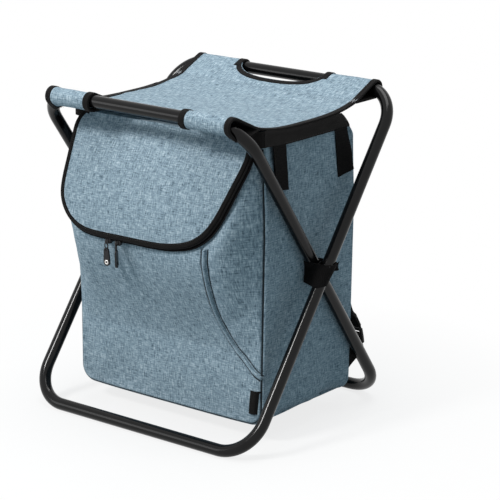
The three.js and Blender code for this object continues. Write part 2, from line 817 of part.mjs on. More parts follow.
// The pull hangs on the bar by an eye. Across, its flat faces forward; otherwise its edge does.
function zipPull(name, x, [barAtY, barAtZ], across) {
  const eye = pullBarDiameter / 2 + pullPlay;
  const eyeOuter = eye + pullEyeWall;
  const width = across ? pullThickness : pullWidth;
  const span = across ? pullWidth : pullThickness;
  const tip = barAtZ - pullLength + width / 2;
  const neckZ = barAtZ - eyeOuter - width / 2;
  const ring = beltOutline(barAtY, barAtZ, eyeOuter, barAtY, neckZ, Math.min(eyeOuter, width) / 2);
  const plate = arc(barAtY, tip, width / 2, -Math.PI, 0, 8);
  plate.push([barAtY + width / 2, barAtZ - eyeOuter], [barAtY - width / 2, barAtZ - eyeOuter]);
  const low = x - span / 2;
  const body = toSolid(prismX(ring, low, low + span)).add(toSolid(prismX(plate, low, low + span)));
  const bore = toSolid(rodX(eye, low - cutOverrun, low + span + cutOverrun)).translate([0, barAtY, barAtZ]);
  addPiece(name, toGeometry(body.subtract(bore)), zinc);
}

// Trim sewn to the bag

function sideTrim() {
  for (const [hand, sign] of [['left', -1], ['right', 1]]) {
    const bandLow = bagTop - topBandHeight;
    const inner = touchGap;
    const outer = touchGap + trimThickness;
    const band = [
      [bagHalfWidth(bandLow) + inner, bandLow],
      [bagHalfWidth(bandLow) + outer, bandLow],
      [bagHalfTop + outer, bagTop],
      [bagHalfTop + inner, bagTop],
    ].map(([x, z]) => [sign * x, z]);
    const bandSolid = toSolid(prismY(sign > 0 ? band : band.reverse(), bagFront, bagRear));
    addPiece(`top_band_${hand}`, toGeometry(bandSolid), webbing);
    for (const [end, y] of [['front', bagFront + frontTabInset], ['rear', bagRear - rearTabInset]]) {
      const tabTop = bandLow - touchGap;
      const low = bagHalfWidth(tabTop) + touchGap;
      const near = Math.min(sign * low, sign * (low + webbingThickness));
      const tab = prismX(
        rectangle(y - webbingWidth / 2, y + webbingWidth / 2, tabTop - sideTabLength, tabTop),
        near,
        near + webbingThickness,
      );
      addPiece(`side_tab_${end}_${hand}`, toGeometry(toSolid(tab)), webbing);
    }
  }
}

// The corded seam starts under the flap's right corner and runs out to the side seam.
function seamPiping() {
  const headZ = bagGround + pipingHeadShare * (bagTop - bagGround);
  const footZ = bagGround + pipingFootShare * (bagTop - bagGround);
  const bendZ = (headZ + 2 * footZ) / 3;
  const footX = bagHalfWidth(footZ) - pipingDiameter;
  const route = new THREE.CatmullRomCurve3([
    new THREE.Vector3(bulgeHalfWidth, 0, headZ),
    new THREE.Vector3(bulgeHalfWidth, 0, (headZ + bendZ) / 2),
    new THREE.Vector3(bulgeHalfWidth, 0, bendZ),
    new THREE.Vector3((4 * bulgeHalfWidth + footX) / 5, 0, (2 * bendZ + footZ) / 3),
    new THREE.Vector3((bulgeHalfWidth + footX) / 2, 0, (bendZ + 4 * footZ) / 5),
    new THREE.Vector3(footX, 0, footZ),
  ]);
  const onFace = route.getPoints(18).map((point) => {
    point.y = frontFaceY(point.x, point.z) - pipingDiameter / 2 - 2 * touchGap;
    return point;
  });
  const section = shapeOf(arc(0, 0, pipingDiameter / 2, 0, 2 * Math.PI * 7 / 8, 7));
  const cord = new THREE.ExtrudeGeometry(section, {
    steps: 24,
    bevelEnabled: false,
    extrudePath: new THREE.CatmullRomCurve3(onFace),
  });
  addPiece('pocket_piping', toGeometry(toSolid(cord)), fabric);
}

function sideLabel() {
  const high = bagHalfWidth(labelBottom + labelHeight) - touchGap;
  const face = bagFront - touchGap;
  const label = prismY(
    rectangle(high - labelWidth, high, labelBottom, labelBottom + labelHeight),
    face - trimThickness,
    face,
  );
  label.translate(-labelWidth / 3, 0, 0);
  addPiece('side_label', toGeometry(toSolid(label)), webbing);
}

// A band goes round both tubes where they cross and is sewn to the bag's side.
function pivotWrap(hand, sign) {
  const sewnX = bagHalfWidth(pivotHeight + wrapHeight / 2) + touchGap;
  const innerX = innerFace - rivetTailHeight - 2 * touchGap;
  const outerX = outerFace + touchGap + rivetHeadHeight + touchGap;
  const halfY = tubeRadius / Math.cos(legAngle) + wrapHeight / 2 * Math.tan(legAngle) + 2 * touchGap;
  const round = 2 * wrapThickness;
  const outerY = halfY + wrapThickness;
  const farX = outerX + wrapThickness;
  const band = [
    [sewnX, -outerY],
    ...arc(farX - round, -outerY + round, round, -Math.PI / 2, 0, 4),
    [farX, outerY + wrapTail],
    [outerX, outerY + wrapTail],
    [outerX, outerY],
    [sewnX, outerY],
  ];
  const hollow = [
    [innerX, -halfY],
    ...arc(outerX - wrapThickness, -halfY + wrapThickness, wrapThickness, -Math.PI / 2, 0, 4),
    [outerX, halfY],
    [innerX, halfY],
  ];
  const low = pivotHeight - wrapHeight / 2;
  const mirror = (points) => (sign > 0 ? points : points.map(([x, y]) => [-x, y]).reverse());
  const body = toSolid(prismZ(mirror(band), low, low + wrapHeight));
  const bore = toSolid(prismZ(mirror(hollow), low - cutOverrun, low + wrapHeight + cutOverrun));
  addPiece(`pivot_wrap_${hand}`, toGeometry(body.subtract(bore)), webbing);
}

// Shoulder strap: a pad down the back, a ladder lock, and webbing back to the bag's lower corner
function shoulderStrap(hand, sign) {
  const seat = bagRear + touchGap;
  const lying = seat + padThickness * 2 / 3;
  const topZ = bagTop - strapTopDrop;
  const footX = bagHalfTop - strapEdgeInset - padFootWidth / 2;
  const at = (share, y, z) => new THREE.Vector3(sign * (strapTopX + (footX - strapTopX) * share), y, z);
  const liftZ = strapFootZ + strapStandOff;
  const padRoute = new THREE.CatmullRomCurve3([
    at(0, seat + padThickness / 2 + touchGap, topZ),
    at(1 / 3, lying + padThickness / 4, (topZ * 2 + liftZ) / 3),
    at(2 / 3, lying + padThickness / 4, (topZ + liftZ * 2) / 3),
    at(1, lying + padThickness / 4, liftZ),
    at(1, seat + strapStandOff * 3 / 5, (liftZ + strapFootZ) / 2),
    at(1, seat + strapStandOff, strapFootZ),
  ]);
  const widthAt = (share) => padWidth + (padFootWidth - padWidth) * share ** 3;
  const thicknessAt = (share) => padThickness * (1 - share ** 4 / 2);
  const pad = stripBody(padRoute, 18, widthAt, thicknessAt);
  addPiece(`shoulder_pad_${hand}`, toGeometry(toSolid(pad)), webbing);

  const slotLength = (lockLength - 3 * lockBar) / 2;
  const lockRise = lockLength * Math.cos(lockTilt);
  const lockRun = lockLength * Math.sin(lockTilt);
  const lockTopY = seat + strapStandOff;
  const lockTopZ = strapFootZ - lockThickness / 4;
  let lock = toSolid(new THREE.BoxGeometry(lockWidth, lockThickness, lockLength));
  for (const place of [-1, 1]) {
    const slot = new THREE.BoxGeometry(lockWidth - 2 * lockBar, lockThickness + cutOverrun, slotLength);
    slot.translate(0, 0, place * (slotLength + lockBar) / 2);
    lock = lock.subtract(toSolid(slot));
  }
  const buckle = addPiece(`ladder_lock_${hand}`, toGeometry(lock), nylon);
  buckle.position.set(sign * footX, lockTopY + lockRun / 2, lockTopZ - lockRise / 2);
  buckle.rotation.x = lockTilt;

  const startY = lockTopY + lockRun;
  const startZ = lockTopZ - lockRise - 2 * touchGap;
  const webRoute = new THREE.CatmullRomCurve3([
    at(1, startY, startZ),
    at(1, startY, (startZ * 2 + strapEndZ) / 3),
    at(1, (startY * 2 + seat) / 3, (startZ + strapEndZ * 5) / 6),
    at(1, seat + webbingThickness, strapEndZ),
  ]);
  const tape = stripBody(webRoute, 14, () => webbingWidth, () => webbingThickness);
  addPiece(`strap_webbing_${hand}`, toGeometry(toSolid(tape)), webbing);
}

steelLoop('outer_loop_tube', outerLoopWidth, legAngle);
steelLoop('inner_loop_tube', innerLoopWidth, -legAngle);
for (const [hand, sign] of [['left', -1], ['right', 1]]) {
  pivotRivet(`pivot_rivet_${hand}`, sign);
  pivotWasher(`pivot_washer_${hand}`, sign);
  pivotWrap(hand, sign);
  shoulderStrap(hand, sign);
}
seatSling();
bagShell();
lidAndZip();
zipSlider('left', leftSliderX, true);
zipSlider('right', rightSliderX, false);
sideTrim();
seamPiping();
sideLabel();

export default stool;
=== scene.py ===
import math

import bpy
import numpy as np
from mathutils import Matrix, Vector, geometry, noise


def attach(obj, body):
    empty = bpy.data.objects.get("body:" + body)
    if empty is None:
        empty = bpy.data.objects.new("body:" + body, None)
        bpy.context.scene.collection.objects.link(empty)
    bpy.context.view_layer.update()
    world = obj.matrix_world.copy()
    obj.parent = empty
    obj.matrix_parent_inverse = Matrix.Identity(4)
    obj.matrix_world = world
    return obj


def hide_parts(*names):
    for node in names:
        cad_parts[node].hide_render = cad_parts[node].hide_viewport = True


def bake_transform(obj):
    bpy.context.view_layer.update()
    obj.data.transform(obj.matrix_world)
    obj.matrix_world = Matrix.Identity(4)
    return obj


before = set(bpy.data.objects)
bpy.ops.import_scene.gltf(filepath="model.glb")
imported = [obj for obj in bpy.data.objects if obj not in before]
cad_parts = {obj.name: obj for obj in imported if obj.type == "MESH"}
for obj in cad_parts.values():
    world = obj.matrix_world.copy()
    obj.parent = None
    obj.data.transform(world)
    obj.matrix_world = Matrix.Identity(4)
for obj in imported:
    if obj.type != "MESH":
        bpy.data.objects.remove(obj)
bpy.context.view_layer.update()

MM = 0.001
HANDS = (("left", -1), ("right", 1))

# Camera, fitted to the loops in the photograph. Millimetres and degrees.
CAMERA_PLACE = (1705.19, -2134.39, 983.36)
CAMERA_YAW = 37.63
CAMERA_DOWN = 15.795
CAMERA_ROLL = 0.598
CAMERA_LENS = 154.82

# The stool's sizes, in millimetres, as in the solids
TUBE = 8.0
LEAN = math.radians(36.5)
TOP_REACH = 255.5
BOTTOM_REACH = 263.0
BEND = 50.0
OUTER_WIDTH = 364.5
INNER_WIDTH = 328.5
PIVOT_Z = 219.14
BAR_Y = 151.98
BAR_Z = 424.53
SLEEVE_Z = 422.93
SEAT_LOW = 404.43
SEAT_RISE = 30.0
SEAT_HALF = 149.0
CLOTH = 1.6
HEM_Y = 105.98
HANDLE_HALF = 69.0
HANDLE_DEPTH = 41.0
BAG_LOW = 26.0
BAG_TOP = 398.83
BAG_FRONT = -97.0
BAG_REAR = 97.0
BAG_CORNER = 20.0
BAG_SHEET = 3.0
HALF_TOP = 153.45
HALF_LOW = 150.45
ROLL = 6.0
FLAP_TOP = 394.83
FLAP_LOW = 244.83
FLAP_HEIGHT = 150.0
FLAP_HALF = 146.0
BULGE_LOW = 115.5

# What the visual model adds, or follows the photograph in
SLING_SHIFT = 3.3
FRONT_HANDLE_SHIFT = -3.4
FRONT_HANDLE_WIDER = 5.0
REAR_HANDLE_SHALLOWER = 10.5
SEAT_SAG = 1.6
HEM_IN = 0.4
SIDE_STANDS_OUT = 5.0
BOTTOM_SAG = 3.0
BEVEL_Z = 372.0
HOLLOW_X = 155.6
BUMP_OUT = 1.6
BUMP_IN = 3.4
WRAP_Z = 212.6
WRAP_HALF = 13.2
PULL_LEFT_X = -47.6
PULL_RIGHT_X = -30.8


# Camera and lights

def make_camera():
    yaw, down, roll = (math.radians(a) for a in (CAMERA_YAW, CAMERA_DOWN, CAMERA_ROLL))
    forward = Vector((-math.sin(yaw) * math.cos(down), math.cos(yaw) * math.cos(down), -math.sin(down)))
    level = Vector((math.cos(yaw), math.sin(yaw), 0))
    upright = level.cross(forward)
    right = level * math.cos(roll) + upright * math.sin(roll)
    up = upright * math.cos(roll) - level * math.sin(roll)
    data = bpy.data.cameras.new("camera")
    data.lens = CAMERA_LENS
    data.sensor_width = 36
    data.clip_start = 0.1
    data.clip_end = 100
    camera = bpy.data.objects.new("camera", data)
    bpy.context.scene.collection.objects.link(camera)
    turn = Matrix((right, up, -forward)).transposed().to_4x4()
    camera.matrix_world = Matrix.Translation(Vector(CAMERA_PLACE) * MM) @ turn
    bpy.context.scene.camera = camera


def make_light(name, place, aim, size, power, colour=(1, 1, 1)):
    data = bpy.data.lights.new(name, "AREA")
    data.shape = "RECTANGLE"
    data.size, data.size_y = size
    data.energy = power
    data.color = colour
    lamp = bpy.data.objects.new(name, data)
    bpy.context.scene.collection.objects.link(lamp)
    lamp.location = place
    lamp.rotation_mode = "QUATERNION"
    lamp.rotation_quaternion = (Vector(aim) - Vector(place)).to_track_quat("-Z", "Y")


class Shade:
    """A node tree. Each input is a number, a colour, a vector or another node's output."""

    def __init__(self, owner, kind="Material"):
        owner.use_nodes = True
        self.owner, self.tree = owner, owner.node_tree
        self.tree.nodes.clear()
        self.output = self.tree.nodes.new("ShaderNodeOutput" + kind)

    def add(self, kind, inputs=(), **settings):
        node = self.tree.nodes.new("ShaderNode" + kind)
        for key, value in settings.items():
            setattr(node, key, value)
        for key, value in dict(inputs).items():
            if isinstance(value, bpy.types.NodeSocket):
                self.tree.links.new(value, node.inputs[key])
            else:
                node.inputs[key].default_value = value
        return node.outputs

    def finish(self, shader):
        self.tree.links.new(shader, self.output.inputs["Surface"])
        return self.owner

    def surface(self, **values):
        inputs = {key.replace("_", " "): value for key, value in values.items()}
        return self.finish(self.add("BsdfPrincipled", inputs)[0])

    def math(self, operation, *values):
        return self.add("Math", enumerate(values), operation=operation)[0]

    def total(self, *shares):
        parts = [self.math("MULTIPLY", value, share) for value, share in shares]
        whole = parts[0]
        for part in parts[1:]:
            whole = self.math("ADD", whole, part)
        return whole

    def spread(self, *values):
        """Maps a value from one range to another: value, low, high, to low, to high."""
        return self.add("MapRange", enumerate(values))[0]

    def stretched(self, vector, scale):
        return self.add("VectorMath", enumerate((vector, scale)), operation="MULTIPLY")[0]

    def apart(self, vector):
        return self.add("SeparateXYZ", {0: vector})

    def noise(self, vector, scale, detail, roughness):
        inputs = {"Vector": vector, "Scale": scale, "Detail": detail, "Roughness": roughness}
        return self.add("TexNoise", inputs)[0]

    def ramp(self, value, stops):
        outputs = self.add("ValToRGB", {0: value})
        ramp = outputs[0].node.color_ramp
        while len(ramp.elements) < len(stops):
            ramp.elements.new(0.5)
        for element, (place, colour) in zip(ramp.elements, stops):
            element.position = place
            element.color = (*colour, 1)
        return outputs[0]

    def bump(self, height, strength, distance):
        return self.add("Bump", {"Strength": strength, "Distance": distance, "Height": height})[0]

    def cloth(self):
        """Cloth is woven in its own millimetres, kept with each point as the attribute "cloth"."""
        return self.add("Attribute", attribute_name="cloth")["Vector"]

    def place(self):
        return self.add("TexCoord")["Object"]

    def mix(self, share, first, second):
        return self.add("MixShader", enumerate((share, first, second)))[0]


def make_world():
    world = bpy.data.worlds.new("studio")
    bpy.context.scene.world = world
    shade = Shade(world, "World")
    plain = shade.add("Background", {"Color": (0.80, 0.97, 1.04, 1), "Strength": 0.35})[0]
    white = shade.add("Background", {"Color": (1, 1, 1, 1), "Strength": 1.0})[0]
    rays = shade.add("LightPath")
    seen = shade.math("MAXIMUM", rays["Is Camera Ray"], rays["Is Glossy Ray"])
    seen = shade.math("MAXIMUM", seen, rays["Is Transmission Ray"])
    shade.finish(shade.mix(seen, plain, white))


# Materials

def new_shade(name):
    return Shade(bpy.data.materials.new(name))


def linear(red, green, blue):
    shares = [value / 255 for value in (red, green, blue)]
    return tuple(v / 12.92 if v <= 0.04045 else ((v + 0.055) / 1.055) ** 2.4 for v in shares)


def weave(shade, place, pitch):
    turn = math.pi / pitch
    apart = shade.apart(place)
    across, along = (shade.math("SINE", shade.math("MULTIPLY", apart[k], turn)) for k in (0, 1))
    over = shade.math("MULTIPLY", across, along)
    ridges = shade.math("MULTIPLY", shade.math("ABSOLUTE", across), shade.math("ABSOLUTE", along))
    return shade.math("ADD", shade.math("MULTIPLY", over, 0.5), ridges)


def melange():
    shade = new_shade("melange_cloth")
    place = shade.cloth()
    warp = shade.noise(shade.stretched(place, (0.80, 0.10, 1)), 1.0, 3.0, 0.7)
    weft = shade.noise(shade.stretched(place, (0.095, 0.84, 1)), 1.0, 3.0, 0.7)
    fine = shade.noise(place, 1.6, 1.0, 0.5)
    broad = shade.noise(shade.stretched(place, (0.035, 0.05, 1)), 1.0, 3.0, 0.6)
    mixed = shade.total((warp, 0.46), (weft, 0.42), (fine, 0.04), (broad, 0.06))
    colour = shade.ramp(mixed, [
        (0.380, linear(74, 91, 102)),
        (0.458, linear(122, 141, 154)),
        (0.522, linear(150, 169, 181)),
        (0.635, linear(204, 216, 223)),
    ])
    height = shade.total((weave(shade, place, 0.55), 0.35), (mixed, 1.6))
    return shade.surface(Base_Color=colour, Roughness=0.92, Sheen_Weight=0.06, Sheen_Roughness=0.5,
                         Specular_IOR_Level=0.1, Normal=shade.bump(height, 0.3, 0.00022))


def black_cloth(name, dark, light, pitch, rough, gloss, rib=0.0):
    shade = new_shade(name)
    place = shade.cloth()
    spots = shade.noise(shade.stretched(place, (0.5, 0.9, 1)), 1.0, 3.0, 0.6)
    worn = shade.noise(shade.stretched(place, (0.03, 0.05, 1)), 1.0, 2.0, 0.5)
    colour = shade.ramp(shade.total((spots, 0.6), (worn, 0.4)), [(0.32, dark), (0.68, light)])
    height = weave(shade, place, pitch)
    if rib:
        ribs = shade.math("SINE", shade.math("MULTIPLY", shade.apart(place)[1], 2 * math.pi / rib))
        height = shade.math("ADD", height, shade.math("MULTIPLY", ribs, 0.8))
    return shade.surface(Base_Color=colour, Roughness=rough, Sheen_Weight=0.01, Sheen_Roughness=0.4,
                         Specular_IOR_Level=gloss, Normal=shade.bump(height, 0.7, 0.0003))


def painted_steel():
    shade = new_shade("painted_steel")
    place = shade.place()
    peel = shade.noise(place, 900, 2.0, 0.5)
    dust = shade.noise(place, 60, 3.0, 0.6)
    scuff = shade.noise(shade.stretched(place, (1, 1, 4)), 190, 4.0, 0.7)
    colour = shade.ramp(dust, [(0.35, (0.0022, 0.0022, 0.0024)), (0.7, (0.0042, 0.0040, 0.0042))])
    return shade.surface(Base_Color=colour, Metallic=0.0, Specular_IOR_Level=0.22,
                         Roughness=shade.spread(scuff, 0.3, 0.75, 0.12, 0.20),
                         Normal=shade.bump(peel, 0.12, 0.0002))


def metal(name, dark, light, rough_low, rough_high, metallic=1.0, gloss=0.5):
    shade = new_shade(name)
    grain = shade.noise(shade.place(), 700, 3.0, 0.6)
    return shade.surface(Base_Color=shade.ramp(grain, [(0.35, dark), (0.7, light)]), Metallic=metallic,
                         Specular_IOR_Level=gloss,
                         Roughness=shade.spread(grain, 0.3, 0.7, rough_low, rough_high),
                         Normal=shade.bump(grain, 0.1, 0.0001))


def foil_lining():
    shade = new_shade("foil_lining")
    place = shade.cloth()
    crinkle = shade.noise(shade.stretched(place, (0.09, 0.09, 1)), 1.0, 6.0, 0.65)
    fine = shade.noise(shade.stretched(place, (0.5, 0.5, 1)), 1.0, 3.0, 0.6)
    colour = shade.ramp(crinkle, [(0.3, (0.42, 0.43, 0.45)), (0.7, (0.72, 0.73, 0.75))])
    return shade.surface(Base_Color=colour, Metallic=0.75, Roughness=shade.spread(fine, 0.3, 0.7, 0.3, 0.5),
                         Normal=shade.bump(crinkle, 0.5, 0.004))


def thread(name, colour, gloss):
    shade = new_shade(name)
    twist = shade.noise(shade.place(), 2600, 2.0, 0.5)
    darker = tuple(0.6 * c for c in colour)
    return shade.surface(Base_Color=shade.ramp(twist, [(0.35, darker), (0.65, colour)]), Roughness=0.5,
                         Specular_IOR_Level=gloss, Sheen_Weight=0.2, Normal=shade.bump(twist, 0.4, 0.0001))


def floor_material():
    """Pale where the object's shadow falls and white farther out. Light bounces off it as off a grey floor."""
    shade = new_shade("floor")
    place = shade.place()
    away = shade.add("VectorMath", {0: place}, operation="LENGTH")["Value"]
    share = shade.spread(shade.spread(away, 0.20, 0.52, 0.0, 1.0), 0, 1, 0.80, 1.0)
    worn = shade.noise(place, 30, 2.0, 0.5)
    tint = shade.ramp(worn, [(0.3, (0.84, 0.835, 0.83)), (0.7, (0.86, 0.855, 0.85))])
    pale = shade.add("BsdfDiffuse", {"Color": tint})[0]
    grey = shade.add("BsdfDiffuse", {"Color": (0.31, 0.36, 0.38, 1)})[0]
    glow = shade.add("Emission", {"Color": (1, 1, 1, 1), "Strength": 1.0})[0]
    rays = shade.add("LightPath")
    seen = shade.math("MAXIMUM", rays["Is Camera Ray"], rays["Is Glossy Ray"])
    return shade.finish(shade.mix(seen, grey, shade.mix(share, pale, glow)))


MELANGE = melange()
WEBBING = black_cloth("webbing", (0.0022, 0.0022, 0.0024), (0.0085, 0.0078, 0.0078), 1.1, 0.85, 0.06, 3.2)
BINDING = black_cloth("binding", (0.0022, 0.0021, 0.0021), (0.0088, 0.0078, 0.0076), 0.7, 0.72, 0.10)
ZIP_TAPE = black_cloth("zip_tape", (0.0022, 0.0022, 0.0025), (0.0075, 0.0072, 0.0078), 0.6, 0.8, 0.08)
PAD_CLOTH = black_cloth("pad_cloth", (0.0022, 0.0022, 0.0025), (0.0080, 0.0078, 0.0080), 1.4, 0.9, 0.06)
STEEL = painted_steel()
ZINC = metal("zip_metal", (0.006, 0.006, 0.007), (0.018, 0.018, 0.020), 0.28, 0.42, 0.5)
BRIGHT = metal("eyelet_metal", (0.55, 0.54, 0.52), (0.78, 0.77, 0.75), 0.18, 0.32)
RIVET = metal("rivet_steel", (0.05, 0.05, 0.052), (0.10, 0.10, 0.105), 0.3, 0.45)
NYLON = metal("nylon", (0.003, 0.003, 0.0033), (0.0065, 0.0065, 0.007), 0.42, 0.6, 0.0, 0.15)
FOIL = foil_lining()
THREAD_BLUE = thread("thread_blue", linear(120, 143, 160), 0.3)
THREAD_BLACK = thread("thread_black", (0.014, 0.013, 0.013), 0.2)
# Pale bar-tack thread: real thread, its light grey partly a painted highlight for the glints on it.
THREAD_GLINT_PAINTED = thread("thread_glint_painted", (0.55, 0.56, 0.58), 0.6)
# Near-black cord laid in the seams and beside the piping: painted shade for the shadow in those grooves.
SEAM_SHADOW_PAINT = thread("seam_shadow_paint", (0.008, 0.013, 0.018), 0.1)


# Meshes. Points are in millimetres until a piece is made. A part is its points, faces and cloth places.

def mesh_piece(name, points, faces, material, cloth=None, sharp=None):
    mesh = bpy.data.meshes.new(name)
    vertices = (np.asarray(points, float) * MM).tolist()
    mesh.from_pydata(vertices, [], [tuple(int(i) for i in f) for f in faces])
    mesh.polygons.foreach_set("use_smooth", [True] * len(mesh.polygons))
    if cloth is not None:
        flat = np.zeros((len(points), 3))
        flat[:, :2] = cloth
        mesh.attributes.new("cloth", "FLOAT_VECTOR", "POINT").data.foreach_set("vector", flat.ravel())
    if sharp:
        mesh.set_sharp_from_angle(angle=math.radians(sharp))
    mesh.update()
    piece = bpy.data.objects.new(name, mesh)
    bpy.context.scene.collection.objects.link(piece)
    piece.data.materials.append(material)
    return piece


def make(name, part, material, body, slot, *nodes, sharp=None):
    """One piece in place of its nodes, on one body, or left unparented in place when two bodies are given."""
    points, faces, cloth = part
    piece = mesh_piece(name, points, faces, material, cloth, sharp)
    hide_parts(*nodes)
    if isinstance(body, str):
        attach(piece, body)
    else:
        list(body)
        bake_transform(piece)
    return piece


def shaped(part, *shapes):
    points, faces, cloth = part
    for shape in shapes:
        points = shape(points)
    return points, faces, cloth


def normals_of(points, faces):
    points = np.asarray(points, float)
    total = np.zeros_like(points)
    for count in (3, 4):
        chosen = np.array([f for f in faces if len(f) == count], int)
        if not len(chosen):
            continue
        corner = points[chosen.T]
        if count == 3:
            face = np.cross(corner[1] - corner[0], corner[2] - corner[0])
        else:
            face = np.cross(corner[2] - corner[0], corner[3] - corner[1])
        for i in range(count):
            np.add.at(total, chosen[:, i], face)
    length = np.linalg.norm(total, axis=1, keepdims=True)
    return total / np.maximum(length, 1e-9)


def flipped(faces):
    return [tuple(reversed(f)) for f in faces]


def facing(points, faces, way):
    """The faces, turned so that they look the given way."""
    return faces if np.sum(normals_of(points, faces) * way) >= 0 else flipped(faces)


def thicken(points, faces, depth, cloth):
    """A sheet with a back, depth behind it, closed round every free edge."""
    points = np.asarray(points, float)
    back = points - normals_of(points, faces) * depth
    count = len(points)
    faces = [tuple(f) for f in faces]
    edges = {(a, b) for f in faces for a, b in zip(f, f[1:] + f[:1])}
    closing = [(b, a, a + count, b + count) for a, b in sorted(edges) if (b, a) not in edges]
    rear = [tuple(i + count for i in reversed(f)) for f in faces]
    return np.vstack([points, back]), faces + rear + closing, np.vstack([cloth, cloth])


def grid_faces(rows, columns, wrap=False):
    faces = []
    for i in range(rows - 1):
        for j in range(columns if wrap else columns - 1):
            k = (j + 1) % columns
            faces.append((i * columns + j, i * columns + k, (i + 1) * columns + k, (i + 1) * columns + j))
    return faces


def sheet(x, y, z, u, v, depth, way):
    """A grid of points as cloth that faces a given way, with u and v as its own places."""
    points = np.stack([x, y, z], -1).reshape(-1, 3)
    faces = facing(points, grid_faces(*x.shape), way)
    return thicken(points, faces, depth, np.stack([u.ravel(), v.ravel()], 1))


def unit(vectors):
    return vectors / np.maximum(np.linalg.norm(vectors, axis=-1, keepdims=True), 1e-9)


def lengths(path):
    steps = np.linalg.norm(np.diff(path, axis=0), axis=1)
    return np.concatenate([[0], np.cumsum(steps)])


def resample(path, count=None, pitch=None):
    path = np.asarray(path, float)
    at = lengths(path)
    if count is None:
        count = max(int(round(at[-1] / pitch)) + 1, 2)
    places = np.linspace(0, at[-1], count)
    return np.stack([np.interp(places, at, path[:, k]) for k in range(path.shape[1])], 1)


def spline(points, steps):
    """A smooth curve through the points."""
    points = np.asarray(points, float)
    padded = np.vstack([2 * points[0] - points[1], points, 2 * points[-1] - points[-2]])
    curve = []
    for i in range(1, len(padded) - 2):
        p0, p1, p2, p3 = padded[i - 1:i + 3]
        for t in np.linspace(0, 1, steps, endpoint=False):
            curve.append(0.5 * (2 * p1 + (p2 - p0) * t + (2 * p0 - 5 * p1 + 4 * p2 - p3) * t * t
                                + (3 * p1 - p0 - 3 * p2 + p3) * t ** 3))
    curve.append(padded[-2])
    return np.array(curve)


def pill(width, height, radius, steps=4):
    """A rectangle with round corners, anticlockwise."""
    points = []
    for quarter, (sx, sy) in enumerate([(1, 1), (-1, 1), (-1, -1), (1, -1)]):
        cx = sx * (width / 2 - radius)
        cy = sy * (height / 2 - radius)
        for i in range(steps + 1):
            a = math.pi / 2 * (quarter + i / steps)
            points.append((cx + radius * math.cos(a), cy + radius * math.sin(a)))
    return np.array(points)


def circle(radius, steps):
    turn = np.arange(steps) * 2 * math.pi / steps
    return np.stack([np.cos(turn), np.sin(turn)], 1) * radius


def anticlockwise(loop):
    area = np.sum(loop[:, 0] * np.roll(loop[:, 1], -1) - loop[:, 1] * np.roll(loop[:, 0], -1))
    return loop if area > 0 else loop[::-1]


def stand(flat, y):
    """Places in the front view, given as x and z, at the depth y."""
    return np.stack([flat[:, 0], np.broadcast_to(y, len(flat)), flat[:, 1]], 1)


def sweep(path, side, up, sections, closed=False):
    """Rings of a section along a path."""
    path = np.asarray(path, float)
    side, up = (np.broadcast_to(np.asarray(v, float), path.shape) for v in (side, up))
    sections = np.asarray(sections, float)
    if sections.ndim == 2:
        sections = np.repeat(sections[None], len(path), 0)
    rings = path[:, None] + side[:, None] * sections[..., :1] + up[:, None] * sections[..., 1:]
    count, size = rings.shape[:2]
    faces = grid_faces(count, size, True)
    last = (count - 1) * size
    if closed:
        faces += [(last + j, last + (j + 1) % size, (j + 1) % size, j) for j in range(size)]
    else:
        faces.append(tuple(reversed(range(size))))
        faces.append(tuple(last + j for j in range(size)))
    around = lengths(np.vstack([sections[0], sections[0][:1]]))[:-1]
    cloth = np.stack(np.meshgrid(around, lengths(path)), -1).reshape(-1, 2)
    return rings.reshape(-1, 3), faces, cloth


def frames(path, reference):
    """Directions across and through a strip, with across as near to the reference as the path lets it be."""
    path = np.asarray(path, float)
    along = unit(np.gradient(path, axis=0))
    reference = np.broadcast_to(np.asarray(reference, float), path.shape)
    side = unit(reference - along * np.sum(reference * along, 1, keepdims=True))
    return side, np.cross(along, side)


def rod(path, reference, sections):
    return sweep(path, *frames(path, reference), sections)


def hoop(path, up, section):
    """A closed ring of wire that lies across up."""
    along = unit(np.roll(path, -1, 0) - np.roll(path, 1, 0))
    tops = np.broadcast_to(up, path.shape)
    return sweep(path, np.cross(tops, along), tops, section, closed=True)


def joined(parts):
    points, faces, cloth, start = [], [], [], 0
    for p, f, c in parts:
        points.append(p)
        cloth.append(c)
        faces += [tuple(i + start for i in face) for face in f]
        start += len(p)
    return np.vstack(points), faces, np.vstack(cloth)


def inside(points, loop):
    points, loop = np.asarray(points, float), np.asarray(loop, float)
    x, y = points[:, :1], points[:, 1:2]
    x0, y0 = loop[:, 0][None], loop[:, 1][None]
    x1, y1 = np.roll(loop[:, 0], -1)[None], np.roll(loop[:, 1], -1)[None]
    crosses = (y0 > y) != (y1 > y)
    with np.errstate(divide="ignore", invalid="ignore"):
        at = (x1 - x0) * (y - y0) / (y1 - y0) + x0
    return (np.sum(crosses & (x < at), 1) % 2).astype(bool)


def distance(points, line, closed=True):
    points, line = np.asarray(points, float), np.asarray(line, float)
    a = line if closed else line[:-1]
    b = np.roll(line, -1, 0) if closed else line[1:]
    best = np.full(len(points), 1e9)
    for start in range(0, len(points), 4000):
        p = points[start:start + 4000][:, None]
        ab = (b - a)[None]
        t = np.clip(np.sum((p - a[None]) * ab, 2) / np.maximum(np.sum(ab * ab, 2), 1e-9), 0, 1)
        best[start:start + 4000] = np.min(np.linalg.norm(p - a[None] - ab * t[..., None], axis=2), 1)
    return best


def clear_inside(spots, loops, margin):
    """Which places lie in the first loop, outside the others and clear of them all."""
    keep = inside(spots, loops[0]) & (distance(spots, loops[0]) > margin)
    for hole in loops[1:]:
        keep &= ~inside(spots, hole) & (distance(spots, hole) > margin)
    return keep


